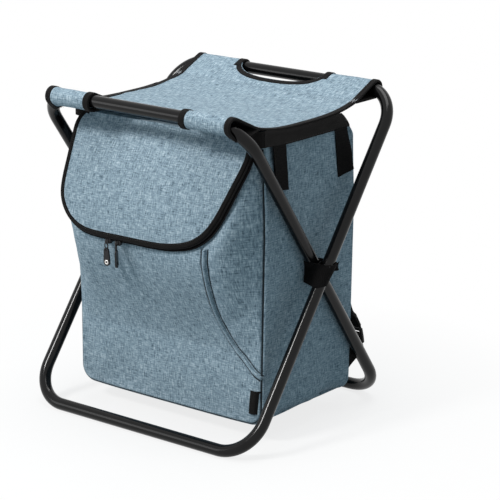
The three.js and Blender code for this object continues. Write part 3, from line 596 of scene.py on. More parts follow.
def region(outline, holes, pitch, extra=()):
    """Triangles that fill an outline but for its holes, with extra rows of points. Gives their area too."""
    loops = [np.asarray(outline, float)] + [np.asarray(h, float) for h in holes]
    low, high = loops[0].min(0), loops[0].max(0)
    rows = np.arange(low[1], high[1], pitch * 0.87)
    columns = np.arange(low[0], high[0], pitch)
    spots = np.array([(x + (pitch / 2 if i % 2 else 0), y) for i, y in enumerate(rows) for x in columns])
    spots = spots[clear_inside(spots, loops, pitch * 0.6)]
    if extra:
        added = np.vstack(extra)
        added = added[clear_inside(added, loops, 0.4)]
        near = np.array([np.min(np.sum((added - s) ** 2, 1)) for s in spots])
        spots = np.vstack([spots[near > (pitch * 0.55) ** 2], added])
    points, edges = [], []
    for loop in loops:
        start = len(points)
        points += [Vector(p) for p in loop]
        edges += [(start + i, start + (i + 1) % len(loop)) for i in range(len(loop))]
    points += [Vector(p) for p in spots]
    made, _, faces = geometry.delaunay_2d_cdt(points, edges, [], 0, 1e-4, False)[:3]
    made = np.array([tuple(p) for p in made])
    faces = np.array([f for f in faces if len(f) == 3])
    middle = made[faces].mean(1)
    keep = inside(middle, loops[0])
    for hole in loops[1:]:
        keep &= ~inside(middle, hole)
    faces = faces[keep]
    a, b, c = (made[faces[:, i]] for i in range(3))
    area = (b - a)[:, 0] * (c - a)[:, 1] - (b - a)[:, 1] * (c - a)[:, 0]
    faces[area < 0] = faces[area < 0][:, ::-1]
    faces = faces[np.abs(area) > 1e-6]
    used, place = np.unique(faces, return_inverse=True)
    return made[used], [tuple(f) for f in place.reshape(-1, 3)], float(np.sum(np.abs(area)) / 2)


def smooth(value, low, high):
    t = np.clip((value - low) / (high - low), 0, 1)
    return t * t * (3 - 2 * t)


def rumple(u, v, waves):
    """Soft unevenness. Each wave is its height, its lengths along u and v, its slant and its seed."""
    shape = np.shape(u)
    u, v = np.ravel(np.asarray(u, float)), np.ravel(np.asarray(v, float))
    total = np.zeros(len(u))
    for height, long_u, long_v, slant, seed in waves:
        a = (u * math.cos(slant) + v * math.sin(slant)) / long_u
        b = (v * math.cos(slant) - u * math.sin(slant)) / long_v
        total += height * np.array([noise.noise(Vector((p, q, seed))) for p, q in zip(a, b)])
    return total.reshape(shape)


def bell(value, width):
    return np.exp(-(value / width) ** 2)


def dashes(path, up, pitch=3.6, share=0.68, width=0.55, height=0.4):
    """Sewn stitches along a path: short threads with sunken ends."""
    path = np.asarray(path, float)
    up = unit(np.broadcast_to(np.asarray(up, float), path.shape))
    at = lengths(path)
    count = max(int(at[-1] / pitch), 1)
    pitch = at[-1] / count
    swell = np.array([0.25, 0.85, 1.0, 0.85, 0.25])
    sink = np.array([-0.35, 0.05, 0.12, 0.05, -0.35]) * height * 2
    sections = circle(0.5, 6)[None] * np.array([width, height])[None, None] * swell[:, None, None]
    parts = []
    for i in range(count):
        where = (i + 0.5) * pitch + np.linspace(-0.5, 0.5, 5) * pitch * share
        spots = np.stack([np.interp(where, at, path[:, k]) for k in range(3)], 1)
        tops = unit(np.stack([np.interp(where, at, up[:, k]) for k in range(3)], 1))
        side = np.cross(unit(np.gradient(spots, axis=0)), tops)
        parts.append(sweep(spots + tops * sink[:, None], side, tops, sections[:, ::-1]))
    return joined(parts)


# Steel loops

def loop_path(width, lean, steps=20):
    half = width / 2
    corners = [
        (half - BEND, TOP_REACH - BEND, 0),
        (-half + BEND, TOP_REACH - BEND, 1),
        (-half + BEND, -BOTTOM_REACH + BEND, 2),
        (half - BEND, -BOTTOM_REACH + BEND, 3),
    ]
    path, outward = [], []
    for cx, cs, quarter in corners:
        for i in range(steps + 1):
            a = (quarter + i / steps) * math.pi / 2
            path.append((cx + BEND * math.cos(a), cs + BEND * math.sin(a)))
            outward.append((math.cos(a), math.sin(a)))
    path, outward = np.array(path), np.array(outward)

    def place(flat, lift):
        s = flat[:, 1]
        return np.stack([flat[:, 0], s * math.sin(lean), s * math.cos(lean) + lift], 1)

    return place(path, PIVOT_Z), place(outward, 0)


def make_loops():
    for name, width, lean, body in (
        ("outer_loop", OUTER_WIDTH, LEAN, "outer_frame"),
        ("inner_loop", INNER_WIDTH, -LEAN, "inner_frame"),
    ):
        path, outward = loop_path(width, lean)
        across = np.cross(unit(np.roll(path, -1, 0) - np.roll(path, 1, 0)), outward)
        part = sweep(path, outward, across, circle(TUBE, 48), closed=True)
        make(name, part, STEEL, body, "steel_tube", f"{name}_tube")


# Seat sling

def seat_top(y):
    return SEAT_LOW + SEAT_RISE * np.abs(np.asarray(y) / BAR_Y) ** 3


def bar_drop(x, width):
    """How far a loop's bar has bent down at x."""
    past = max(abs(x) - width / 2 + BEND, 0)
    return BEND - math.sqrt(BEND ** 2 - past ** 2)


def hull(points):
    """The outline of a belt drawn tight round the points, anticlockwise."""
    points = sorted(set(map(tuple, np.round(points, 6))))

    def half(run):
        chain = []
        for p in run:
            while len(chain) > 1 and ((chain[-1][0] - chain[-2][0]) * (p[1] - chain[-2][1])
                                      - (chain[-1][1] - chain[-2][1]) * (p[0] - chain[-2][0])) <= 0:
                chain.pop()
            chain.append(p)
        return chain[:-1]

    return np.array(half(points) + half(points[::-1]))


LOOP_POINTS = 72
SEAT_POINTS = 60
SLEEVE_RADIUS = 10.7
SLACK_RADIUS = 9.2


def sleeve_line(x, side):
    """The cloth round one bar, in the plane across it, from the lower hem round to the upper one."""
    drop = bar_drop(x, INNER_WIDTH if side < 0 else OUTER_WIDTH)
    cloud = [circle(SLEEVE_RADIUS, 96) + (BAR_Y, SLEEVE_Z)]
    if drop > 0:
        cloud.append(circle(SLACK_RADIUS, 96) + (BAR_Y - drop * math.sin(LEAN), BAR_Z - drop * math.cos(LEAN)))
    upper = np.array([HEM_Y, float(seat_top(HEM_Y)) - CLOTH / 2])
    lower = upper + (0.35, -CLOTH - 0.1)
    belt = hull(np.vstack([*cloud, upper, lower]))
    start, stop = (int(np.argmin(np.sum((belt - end) ** 2, 1))) for end in (lower, upper))
    belt = np.roll(belt, -start, 0)
    line = resample(belt[:(stop - start) % len(belt) + 1], count=LOOP_POINTS)
    line[:, 0] *= side
    return line


SEAT_Y = np.linspace(-HEM_Y, HEM_Y, SEAT_POINTS)


def sling_line(x):
    middle = np.stack([SEAT_Y, seat_top(SEAT_Y) - CLOTH / 2], 1)
    return np.vstack([sleeve_line(x, -1)[:-1], middle, sleeve_line(x, 1)[::-1][1:]])


SLING_X = np.unique(np.round(np.concatenate(
    [np.linspace(-SEAT_HALF, -100, 15), np.linspace(-100, 100, 9), np.linspace(100, SEAT_HALF, 15)]), 4))
SLING_LINES = np.array([sling_line(x) for x in SLING_X])
SLING_S = lengths(sling_line(0.0))
SLING_LENGTH = float(SLING_S[-1])
SEAT_START = float(SLING_S[LOOP_POINTS - 1])
SEAT_END = SLING_LENGTH - SEAT_START


def sling_point(x, s):
    """Places on the sling's middle surface, from the flat cloth's own x and s."""
    x, s = np.asarray(x, float), np.asarray(s, float)
    row = np.interp(s, SLING_S, np.arange(len(SLING_S)))
    column = np.interp(x, SLING_X, np.arange(len(SLING_X)))
    r0 = np.clip(row.astype(int), 0, len(SLING_S) - 2)
    c0 = np.clip(column.astype(int), 0, len(SLING_X) - 2)
    fr, fc = (row - r0)[:, None], (column - c0)[:, None]
    a, b = SLING_LINES[c0, r0], SLING_LINES[c0, r0 + 1]
    c, d = SLING_LINES[c0 + 1, r0], SLING_LINES[c0 + 1, r0 + 1]
    flat = (a * (1 - fr) + b * fr) * (1 - fc) + (c * (1 - fr) + d * fr) * fc
    return np.stack([x + SLING_SHIFT * (1 - s / SLING_LENGTH), flat[:, 0], flat[:, 1]], 1)


def sling_normal(x, s, step=0.6):
    ahead, behind = sling_point(x, s + step), sling_point(x, s - step)
    right = sling_point(np.minimum(x + step, SEAT_HALF), s)
    left = sling_point(np.maximum(x - step, -SEAT_HALF), s)
    return unit(np.cross(right - left, ahead - behind))


def on_sling(flat, lift=0.0):
    """Places and normals over points of the flat cloth."""
    up = sling_normal(flat[:, 0], flat[:, 1])
    return sling_point(flat[:, 0], flat[:, 1]) + up * lift, up


def on_seat(s):
    return smooth(s, SEAT_START - 8, SEAT_START + 22) * (1 - smooth(s, SEAT_END - 22, SEAT_END + 8))


def seat_sag(x, s):
    """How far the seat hangs through between its sides."""
    return SEAT_SAG * (1 - (x / SEAT_HALF) ** 2) * on_seat(s)


def along_sling(x, first, last, count):
    """A line on the flat cloth at one x."""
    return np.stack([np.full(count, x), np.linspace(first, last, count)], 1)


# A handle cut's outline is a rounded half moon: the power of its sine and cosine
HANDLE_POWER = 2 / 2.4
# The two cuts, front and rear: shift sideways, half width and depth
HANDLES = {
    -1: (FRONT_HANDLE_SHIFT, HANDLE_HALF + FRONT_HANDLE_WIDER, HANDLE_DEPTH),
    1: (0.0, HANDLE_HALF, HANDLE_DEPTH - REAR_HANDLE_SHALLOWER),
}


def handle_line(side, grow=0.0, steps=28):
    """A handle cut's edge on the flat cloth: x, y, and where y lies on the sleeve's under and upper side."""
    shift, half, depth = HANDLES[side]
    past = np.abs(sleeve_line(0.0, side)[::-side, 0])
    first = 0 if side < 0 else len(SLING_S) - LOOP_POINTS
    places = SLING_S[first:first + LOOP_POINTS]
    far = int(np.argmax(past))
    order = np.arange(len(past))
    low, high = (int(np.argmin(np.where(run, np.abs(past - BAR_Y), 1e9)))
                 for run in (order < far, order > far))
    turn = np.linspace(0, math.pi, steps)
    x = shift + (half + grow) * np.sign(np.cos(turn)) * np.abs(np.cos(turn)) ** HANDLE_POWER
    y = BAR_Y - (depth + grow) * np.sin(turn) ** HANDLE_POWER

    def low_s(y):
        return np.interp(y, past[:low + 1], places[:low + 1])

    def high_s(y):
        return np.interp(-y, -past[high:], places[high:])

    return x, y, low_s, high_s


def handle_hole(side):
    x, y, low_s, high_s = handle_line(side)
    upper, lower = (np.stack([x, np.clip(place(y), 0.8, SLING_LENGTH - 0.8)], 1)
                    for place in (high_s, low_s))
    ends = [resample(np.array(pair), pitch=2.0)[1:-1]
            for pair in ((upper[-1], lower[-1]), (lower[0], upper[0]))]
    return anticlockwise(np.vstack([upper, ends[0], lower[::-1], ends[1]]))


# Two bodies and, in metres, the places where a piece goes over from the first to the second
FOLD = ("inner_frame", "outer_frame", (0, -0.155, 0.4), (0, 0.155, 0.4))


def sling_tape(flat, width, thick, radius, lift=0.0):
    """Tape folded over an edge of the sling that runs along the flat line."""
    path, up = on_sling(flat, lift)
    along = unit(np.gradient(path, axis=0))
    side = unit(np.cross(up, along))
    return sweep(path, side, np.cross(along, side), pill(width, thick, radius))


def sling_stitches(flat, lift, *settings, **more):
    path, up = on_sling(flat)
    return dashes(path + up * (CLOTH / 2 + lift), up, *settings, **more)


def make_sling():
    half = SEAT_HALF - HEM_IN
    edge = [(-half, 0.0), (half, 0.0), (half, SLING_LENGTH), (-half, SLING_LENGTH)]
    outline = np.vstack([resample(np.array([edge[i], edge[(i + 1) % 4]]), pitch=3.4)[:-1] for i in range(4)])
    flat, faces, area = region(outline, [handle_hole(-1), handle_hole(1)], 3.6)
    points, normal = on_sling(flat)
    x, s = flat[:, 0], flat[:, 1]
    seat = on_seat(s)
    lift = rumple(x, s, [(1.5, 150, 34, 0.05, 1.3), (0.7, 46, 17, -0.06, 4.1)]) * seat
    pucker = rumple(x, s, [(0.8, 9, 40, 0, 7.7)]) * bell(s - SEAT_START, 9)
    pucker += rumple(x, s, [(0.8, 9, 40, 0, 2.9)]) * bell(s - SEAT_END, 9)
    sleeve = (1 - seat) * smooth(SEAT_HALF - np.abs(x), 3, 14)
    loose = rumple(x, s, [(0.55, 22, 30, 0.5, 3.3)]) * sleeve
    groove = -0.45 * (bell(s - SEAT_START - 1, 1.3) + bell(s - SEAT_END + 1, 1.3))
    points = points + normal * (lift + pucker * 0.6 + loose + groove)[:, None]
    points[:, 2] -= seat_sag(x, s)
    points = points + normal * (CLOTH / 2)
    part = thicken(points, facing(points, faces, normal), CLOTH, flat)
    sling = make(
        "seat_sling", part, MELANGE, FOLD, "melange_cloth", "seat_panel",
        "seat_front_sleeve_left", "seat_front_sleeve_right", "seat_rear_sleeve_left", "seat_rear_sleeve_right",
        sharp=60,
    )

    def trim(name, part, material, *nodes, slot="black_webbing"):
        make(name, part, material, FOLD, slot, *nodes)

    edge_x = 145.4
    for hand, sign in HANDS:
        line = along_sling(sign * edge_x, 0, SLING_LENGTH, 150)
        at = lengths(on_sling(line)[0])
        s = np.interp(np.linspace(0, at[-1], 260), at, line[:, 1])
        path, up = on_sling(np.stack([np.full(260, sign * edge_x), s], 1))
        path[:, 2] -= seat_sag(edge_x, s)
        up = unit(0.1 * np.roll(up, 1, 0) + up)
        along = unit(np.gradient(path, axis=0))
        side = unit(np.cross(up, along))
        up = np.cross(along, side)
        trim(f"side_binding_{hand}", sweep(path, side, up, pill(8.8, CLOTH + 1.9, 1.4)), BINDING,
             f"seat_side_binding_{hand}", f"front_end_binding_{hand}", f"rear_end_binding_{hand}")
        stitched = dashes(path - np.array([sign * 2.6, 0, 0]) + up * (CLOTH / 2 + 0.95), up, 3.4)
        trim(f"side_binding_stitches_{hand}", stitched, THREAD_BLACK)

    for label, side in (("front", -1), ("rear", 1)):
        for hand, sign in HANDS:
            # Black strips lining the sleeves near their ends: painted shade for the dark inside of the
            # sleeves.
            line = along_sling(sign * 137.0, 2, SEAT_START - 2, 80)
            if side > 0:
                line[:, 1] = SLING_LENGTH - line[:, 1]
            trim(f"{label}_sleeve_painted_shade_{hand}", sling_tape(line, 22.0, 0.9, 0.4, lift=-1.35), ZIP_TAPE)
        grow, width = (3.5, 9.0) if side < 0 else (4.0, 10.5)
        x, y, low_s, high_s = handle_line(side, grow, 90)
        upper = np.stack([x, high_s(y)], 1)
        lower = np.stack([x, np.clip(low_s(y), 1.2, SLING_LENGTH - 1.2)], 1)
        tapes = [sling_tape(resample(upper, pitch=2.2), width, CLOTH + 2.0, 1.4),
                 sling_tape(resample(lower, pitch=2.2), 7.5, CLOTH + 1.5, 1.1)]
        trim(f"{label}_handle_edge", joined(tapes), BINDING, f"{label}_handle_binding")
        shift, half, _ = HANDLES[side]
        for hand, sign in HANDS:
            ends = float(low_s(BAR_Y - 15)), float(high_s(BAR_Y - 12))
            line = along_sling(shift + sign * (half + 3.9), *ends, 110)
            ring = sling_tape(line, 9.8, CLOTH + 2.2, 1.3)
            trim(f"{label}_ring_{hand}", ring, BINDING, f"{label}_handle_ring_{hand}")
            seams = [sling_stitches(line + (offset, 0), 0.85, 3.2) for offset in (-2.8, 2.8)]
            trim(f"{label}_ring_stitches_{hand}", joined(seams), THREAD_BLACK)

    seams = []
    for s in (SEAT_START + 1.0, SEAT_END - 1.0, SEAT_START + 6.5, SEAT_END - 6.5):
        row = np.stack([np.linspace(-142, 142, 120), np.full(120, s)], 1)
        seams.append(sling_stitches(row, -0.1, 3.4, width=0.5, height=0.3))
    trim("hem_stitches", joined(seams), THREAD_BLUE, slot="melange_cloth")

    tacks = []
    for sign in (-1, 1):
        for s in (SEAT_START + 3, SEAT_END - 3):
            for k in range(4):
                slant = 1.6 if k % 2 else -1.6
                across = np.full(6, sign * (143.4 + 1.9 * k))
                row = np.stack([across, s + np.linspace(-4.6, 4.6, 6) + slant], 1)
                tacks.append(sling_stitches(row, 1.25, 8.6, 0.96, 0.7, 0.55))
    trim("bar_tacks", joined(tacks), THREAD_GLINT_PAINTED)


# Bag outline, seen from the front

def half_at(z):
    return HALF_LOW + (HALF_TOP - HALF_LOW) * np.clip((z - BAG_LOW) / (BAG_TOP - BAG_LOW), 0, 1)


def bag_edge(pitch=3.2):
    """The outline from the top right corner down, round the bottom and up to the top left."""
    corner_z = BAG_LOW + BAG_CORNER
    corner_x = float(half_at(corner_z)) - BAG_CORNER
    right = [(corner_x + BAG_CORNER * math.cos(a), corner_z + BAG_CORNER * math.sin(a))
             for a in np.linspace(0, -math.pi / 2, 13)]
    left = [(-x, z) for x, z in reversed(right)]
    straight_r = resample(np.array([(HALF_TOP, BAG_TOP), right[0]]), pitch=pitch)[:-1]
    bottom = resample(np.array([right[-1], left[0]]), pitch=pitch)[1:-1]
    straight_l = resample(np.array([left[-1], (-HALF_TOP, BAG_TOP)]), pitch=pitch)[1:]
    return np.vstack([straight_r, right, bottom, left, straight_l])


def outward_of(line):
    return unit(np.stack([-np.gradient(line[:, 1]), np.gradient(line[:, 0])], 1))


EDGE = bag_edge()
EDGE_OUT = outward_of(EDGE)
EDGE_LOOP = EDGE[::-1]
SEAM_IN = ROLL * (1 - math.sqrt(0.5))
SEAM_STEPS = np.array([2.3, 3.0, 4.0, 5.2, 6.8, 9.0])


def lean(points):
    """The bag's right side stands out a little below its top, and its bottom sags."""
    points = np.array(points, float)
    share = smooth(points[:, 0], -150, 150)
    sag = (1 - np.clip(np.abs(points[:, 0]) / 165, 0, 1) ** 4) * (1 - smooth(points[:, 2], 24, 75))
    points[:, 0] += SIDE_STANDS_OUT * share * (1 - smooth(points[:, 2], 262, 395))
    points[:, 2] -= BOTTOM_SAG * sag
    return points


def round_rear(points):
    """The top rear edge of the bag is soft and bevelled."""
    points = np.array(points, float)
    past = np.clip(points[:, 2] - BEVEL_Z, 0, 60)
    near = np.clip(1 - (BAG_REAR - points[:, 1]) / 60, 0, 1)
    points[:, 1] -= 1.35 * past ** 2 / (past + 14) * near
    return points


def clear_of_tube(points):
    """The side lies hollow where the inner tube presses on it, and all over the tube's sweep as it folds."""
    points = np.array(points, float)
    tube_y = -(points[:, 2] - PIVOT_Z) * math.tan(LEAN)
    off = np.maximum(np.minimum(tube_y, 0) - points[:, 1], points[:, 1] - np.maximum(tube_y, 0))
    out = np.abs(points[:, 0])
    beyond = np.maximum(out - HOLLOW_X, 0)
    points[:, 0] -= np.sign(points[:, 0]) * beyond * bell(np.maximum(off - 9.0, 0), 10)
    return points


def roll_off(distance_in):
    """How far the cloth falls away towards a seam, at a distance in from the bag's edge."""
    reach = np.clip(ROLL - distance_in, 0, ROLL)
    return ROLL - np.sqrt(ROLL ** 2 - reach ** 2)


def seam_ridge(distance_in):
    """The cloth dips into a seam and stands up a little beside it."""
    angle = np.arcsin(np.clip((ROLL - distance_in) / ROLL, -1, 1))
    along = np.where(distance_in < ROLL, ROLL * (math.pi / 4 - angle), ROLL * math.pi / 4 + distance_in - ROLL)
    return -2.3 * bell(along, 1.05) + 0.6 * bell(along - 3.4, 1.6)


def flap_face(x, z):
    """The depth at which the flap's front lies, as y."""
    down = np.clip((FLAP_TOP - z) / FLAP_HEIGHT, 0, 1)
    return BAG_FRONT - 7 - 58 * (1 - (1 - down) ** 1.7) + 5 * down * (x / FLAP_HALF) ** 2


def on_flap(line, behind):
    return stand(line, flap_face(line[:, 0], line[:, 1]) + behind)


def front_face(x, z):
    """The bag swells forward behind the flap, and runs out to its sides and down from there."""
    forward = np.maximum(BAG_FRONT - flap_face(0, np.maximum(z, FLAP_LOW)) - 12, 0)
    rise = np.clip((z - BULGE_LOW) / (FLAP_LOW - BULGE_LOW), 0, 1)
    ramp = (rise + rise * rise * (3 - 2 * rise)) / 2
    half = half_at(z)
    up = np.clip((z - FLAP_LOW) / FLAP_HEIGHT, 0, 1)
    carried = FLAP_HALF * np.interp(up, [0, 0.12, 0.3, 0.7, 1], [0.68, 0.76, 0.86, 0.94, 1])
    from_seam = np.clip((half - SEAM_IN - np.abs(x)) / (half - SEAM_IN - carried), 0, 1)
    return BAG_FRONT - forward * ramp * (1 - (1 - from_seam) ** 2.2)


# The edge of the flap's own cloth as shares of its half width and height, and how far in it is moved
FLAP_CLOTH = [
    (-0.880, 1.0), (-0.922, 0.95), (-0.934, 0.89), (-0.922, 0.806), (-0.905, 0.626), (-0.900, 0.452),
    (-0.886, 0.345), (-0.838, 0.250), (-0.750, 0.165), (-0.640, 0.115), (-0.520, 0.097), (-0.356, 0.095),
    (-0.110, 0.100), (0.128, 0.102), (0.359, 0.116), (0.572, 0.168), (0.715, 0.262), (0.804, 0.391),
    (0.860, 0.531), (0.905, 0.668), (0.940, 0.790), (0.952, 0.880), (0.930, 1.0),
]
BOUND = 5.6


def flap_edge(pitch=2.5):
    """The flap's free edge from the top left, round the bottom, to the top right."""
    shares = spline(FLAP_CLOTH, 8)
    line = np.stack([shares[:, 0] * FLAP_HALF, FLAP_LOW + shares[:, 1] * FLAP_HEIGHT], 1)
    line = resample(line, pitch=pitch)
    for _ in range(3):
        line[1:-1] = (line[:-2] + 2 * line[1:-1] + line[2:]) / 4
    return resample(line - outward_of(line) * BOUND, pitch=pitch)


FLAP_EDGE = flap_edge()
FLAP_SIDE = -outward_of(FLAP_EDGE)


def flap_line(outward):
    """The free edge moved outwards, from the top left to the top right."""
    return FLAP_EDGE + FLAP_SIDE * outward


# The pocket's corded seam, as x and z
PIPING = spline([(99.5, 262), (100.2, 245), (99.4, 227), (96.4, 200), (95.0, 176), (98.4, 150),
                 (108.8, 126.5), (124, 109.2), (139, 97.6), (149.6, 90.6)], 14)


def front_surface(x, z):
    """The front of the bag as sewn: rolled at its edges, puckered at its seams and softly uneven."""
    flat = np.stack([x, z], 1)
    from_edge = distance(flat, EDGE_LOOP)
    from_side = np.minimum(from_edge, half_at(z) - np.abs(x))
    from_edge = np.maximum(np.where(z > BAG_TOP - 60, from_side, from_edge), 0)
    calm = smooth(from_edge, 3, 16)
    lower = bell(z - BAG_LOW - 22, 26)
    beside = smooth(x, 98, 112) * (1 - smooth(z, 235, 275))
    y = front_face(x, z) + roll_off(from_edge)
    y += 2.6 * bell(distance(flat, PIPING, closed=False) - 4.0, 1.15) * smooth(from_edge, 0, 3)
    waves = [(2.4, 120, 60, 0.5, 11.2), (1.3, 34, 60, 0.35, 5.4), (0.6, 14, 22, -0.4, 8.8)]
    y -= rumple(x, z, waves) * calm * 0.9
    y -= rumple(x, z, [(2.0, 26, 60, 0.15, 21.5)]) * lower * calm
    y -= rumple(x, z, [(2.4, 30, 90, -0.5, 31.5), (1.6, 16, 34, -0.75, 33.0)]) * beside * calm
    return y, from_edge


def on_front(line, proud):
    return stand(line, front_surface(line[:, 0], line[:, 1])[0] - proud)


def capped(line, pitch):
    """A line closed by a straight row of points from its end to its start."""
    return np.vstack([line, resample(np.array([line[-1], line[0]]), pitch=pitch)[1:-1]])


def panel_outline(pitch):
    outline = EDGE_LOOP - EDGE_OUT[::-1] * SEAM_IN
    return capped(outline[outline[:, 1] < BAG_TOP - 0.6], pitch)


def seam_rings():
    return [EDGE_LOOP - EDGE_OUT[::-1] * d for d in SEAM_STEPS]


def make_front():
    mouth = flap_line(-9.5)
    mouth = capped(mouth[mouth[:, 1] < FLAP_TOP - 6], 3.2)
    beside = (-6.2, -5.0, -4.0, -3.0, -1.6, 0, 1.6, 3.0, 4.0, 5.0, 6.2)
    rings = seam_rings() + [np.stack([PIPING[:, 0] + d, PIPING[:, 1]], 1) for d in beside]
    flat, faces, _ = region(panel_outline(3.2), [mouth], 3.4, rings)
    y, from_edge = front_surface(flat[:, 0], flat[:, 1])
    points = stand(flat, y)
    points += normals_of(points, faces) * seam_ridge(from_edge)[:, None]
    part = shaped(thicken(points, faces, BAG_SHEET, flat), lean)
    make("front_panel", part, MELANGE, "bag", "melange_cloth", "bag_front_panel", sharp=55)


def make_back():
    rows = [np.stack([np.linspace(-148, 148, 80), np.full(80, BAG_TOP - down)], 1)
            for down in (1, 1.8, 3, 4.6, 7, 10, 14)]
    flat, faces, _ = region(panel_outline(3.6), [], 4.2, seam_rings() + rows)
    x, z = flat[:, 0], flat[:, 1]
    from_edge = np.where(z > BAG_TOP - 40, half_at(z) - np.abs(x), distance(flat, EDGE_LOOP))
    calm = smooth(from_edge, 3, 18)
    bumps = rumple(x, z, [(1.2, 80, 120, 0.2, 9.9), (0.5, 24, 40, 0.6, 2.2)])
    points = stand(flat, BAG_REAR - roll_off(from_edge) + bumps * calm - 0.5 * calm)
    faces = flipped(faces)
    points += normals_of(points, faces) * seam_ridge(from_edge)[:, None]
    part = shaped(thicken(points, faces, BAG_SHEET, flat), round_rear, lean)
    make("back_panel", part, MELANGE, "bag", "melange_cloth", "bag_back_panel", sharp=55)


def wall_bumps(u, v, calm, seed, low):
    """A side's folds: soft where they stand out, and never deep enough to reach the liner."""
    waves = [(6.5, 170, 44, 0.35, 3.0 + seed), (2.6, 70, 24, -0.4, 5.0 + seed),
             (0.8, 20, 12, 0.2, 9.0 + seed)]
    bumps = rumple(u, v, waves) * calm + 0.4
    bumps = np.where(bumps > 0, BUMP_OUT * np.tanh(bumps / BUMP_OUT), BUMP_IN * np.tanh(bumps / BUMP_IN))
    bumps = bumps - 1.0 * calm
    return bumps + rumple(u, v, [(1.6, 60, 20, 0.1, 27.0 + seed)]) * low * calm


def make_walls():
    """The sides and the bottom are one strip round the outline, in three pieces."""
    order = np.arange(len(EDGE))
    at = lengths(EDGE)
    steep = np.arctan2(-EDGE_OUT[:, 1], np.abs(EDGE_OUT[:, 0])) > math.radians(58)
    right_end = int(np.argmax(steep))
    left_end = len(EDGE) - 1 - int(np.argmax(steep[::-1]))
    steps = np.concatenate([[SEAM_IN], SEAM_STEPS, [12.6]])
    middle = np.linspace(BAG_FRONT + 17, BAG_REAR - 17, 44)
    ys = np.concatenate([BAG_FRONT + steps, middle, BAG_REAR - steps[::-1]])
    for name, first, last, corner, seed in (
        ("side_panel_right", 0, right_end, right_end, 1.0),
        ("bottom_panel", right_end, left_end, None, 14.1),
        ("side_panel_left", left_end, len(EDGE) - 1, left_end, 7.0),
    ):
        dense = np.arange(first, last + 0.25, 0.5)
        line, out = (np.stack([np.interp(dense, order, row[:, k]) for k in (0, 1)], 1)
                     for row in (EDGE, EDGE_OUT))
        out = unit(out)
        s = np.interp(dense, order, at)
        v, u = np.meshgrid(ys, s)
        from_seam = np.minimum(v - BAG_FRONT, BAG_REAR - v)
        from_end = np.minimum(np.abs(s - at[right_end]), np.abs(s - at[left_end]))[:, None]
        calm = smooth(from_seam, 3, 18)
        if corner is None:
            bumps = rumple(u, v, [(1.2, 60, 60, 0.3, seed)]) * calm
        else:
            bumps = wall_bumps(u, v, calm, seed, bell(s - at[corner], 40)[:, None])
        off = -roll_off(from_seam) + seam_ridge(from_seam) + bumps
        off -= 1.3 * bell(from_end, 1.8) * smooth(from_seam, 2, 8)
        place = line[:, None] + out[:, None] * off[..., None]
        way = np.insert(np.repeat(out, len(ys), 0), 1, 0, 1)
        part = sheet(place[..., 0], v, place[..., 1], v, -u, BAG_SHEET, way)
        part = shaped(part, round_rear, lean, clear_of_tube)
        make(name, part, MELANGE, "bag", "melange_cloth", f"bag_{name}", sharp=55)


def make_seams():
    """A dark cord at the bottom of the seams round the front and the back, painted shade for the shadow in the
    seams.
    """
    depth = SEAM_IN + 0.75
    line = resample((EDGE - EDGE_OUT * depth)[EDGE[:, 1] < BAG_TOP - 12], pitch=3)
    for name, y in (("front", BAG_FRONT + depth), ("rear", BAG_REAR - depth)):
        part = shaped(rod(stand(line, y), (0, 1, 0), circle(1.15, 8)), round_rear, lean, clear_of_tube)
        make(f"seam_shadow_cord_{name}", part, SEAM_SHADOW_PAINT, "bag", "melange_cloth")


def make_top():
    xs = np.linspace(-HALF_TOP + 0.4, HALF_TOP - 0.4, 60)
    rear = BAG_REAR - np.array([16, 12, 8, 5, 2.5, 0.6])
    x, y = np.meshgrid(xs, np.concatenate([[-103.6, -100], np.linspace(-96, BAG_REAR - 20, 34), rear]))
    z = BAG_TOP - 0.4 - 0.8 * smooth(HALF_TOP - np.abs(x), 2, 30)
    z = z + rumple(x, y, [(1.0, 60, 50, 0.3, 17.0)]) * 0.6

    def tuck(points):
        """The front corners are drawn in behind the black band."""
        corner = smooth(np.abs(points[:, 0]), 118, 140) * smooth(-points[:, 1], 80, 96)
        points[:, 1] += 5.0 * corner
        points[:, 0] -= np.sign(points[:, 0]) * 3.0 * corner
        return points

    part = shaped(sheet(x, y, z, x, y, BAG_SHEET, (0, 0, 1)), tuck, round_rear)
    make("top_panel", part, MELANGE, "bag", "melange_cloth", "bag_top_panel", sharp=55)


def make_liner():
    gap, back_y, squeeze = 9.5, BAG_REAR - 6.2, 0.985
    line = resample(EDGE - EDGE_OUT * gap, pitch=6)
    line = np.vstack([line, [(-HALF_TOP + gap, BAG_TOP - 7.2)], [(HALF_TOP - gap, BAG_TOP - 7.2)]])
    line = line[line[:, 1] < BAG_TOP - 7]
    loop = resample(np.vstack([line, line[:1]]), pitch=5)[:-1]
    ys = np.concatenate([np.linspace(BAG_FRONT + 5.6, BAG_REAR - 10, 32), [BAG_REAR - 7, back_y]])
    centre = loop.mean(0)
    rings = []
    for y in ys:
        wobble = rumple(loop[:, 0] + loop[:, 1], np.full(len(loop), y), [(1.6, 30, 24, 0.4, 41.0)]) - 0.8
        ring = centre + (loop - centre) * (squeeze if y == back_y else 1.0)
        rings.append(stand(ring + unit(loop - centre) * np.minimum(wobble, 0)[:, None], y))
    points = np.vstack(rings)
    at = lengths(np.vstack([loop, loop[:1]]))[:-1]
    cloth = np.stack(np.meshgrid(at, ys), -1).reshape(-1, 2)
    back, tri, _ = region(anticlockwise(loop), [], 7)
    back = centre + (back - centre) * squeeze
    inward = np.insert(centre - points[:, [0, 2]], 1, 0, 1)
    faces = facing(points, grid_faces(len(ys), len(loop), True), inward)
    faces += [tuple(i + len(points) for i in f) for f in tri]
    part = thicken(np.vstack([points, stand(back, back_y)]), faces, 0.7, np.vstack([cloth, back]))

    def rest(points):
        points[:, 2] += 3.0 * (1 - smooth(points[:, 2], 24, 75))
        return points

    part = shaped(part, round_rear, lean, rest)
    make("liner", part, FOIL, "bag", "foil_liner", "bag_liner", sharp=55)


LID = ("bag", "lid", (0, -0.104, 0.3975), (0, -0.104, 0.381))
LID_TOP_Z = 397.4


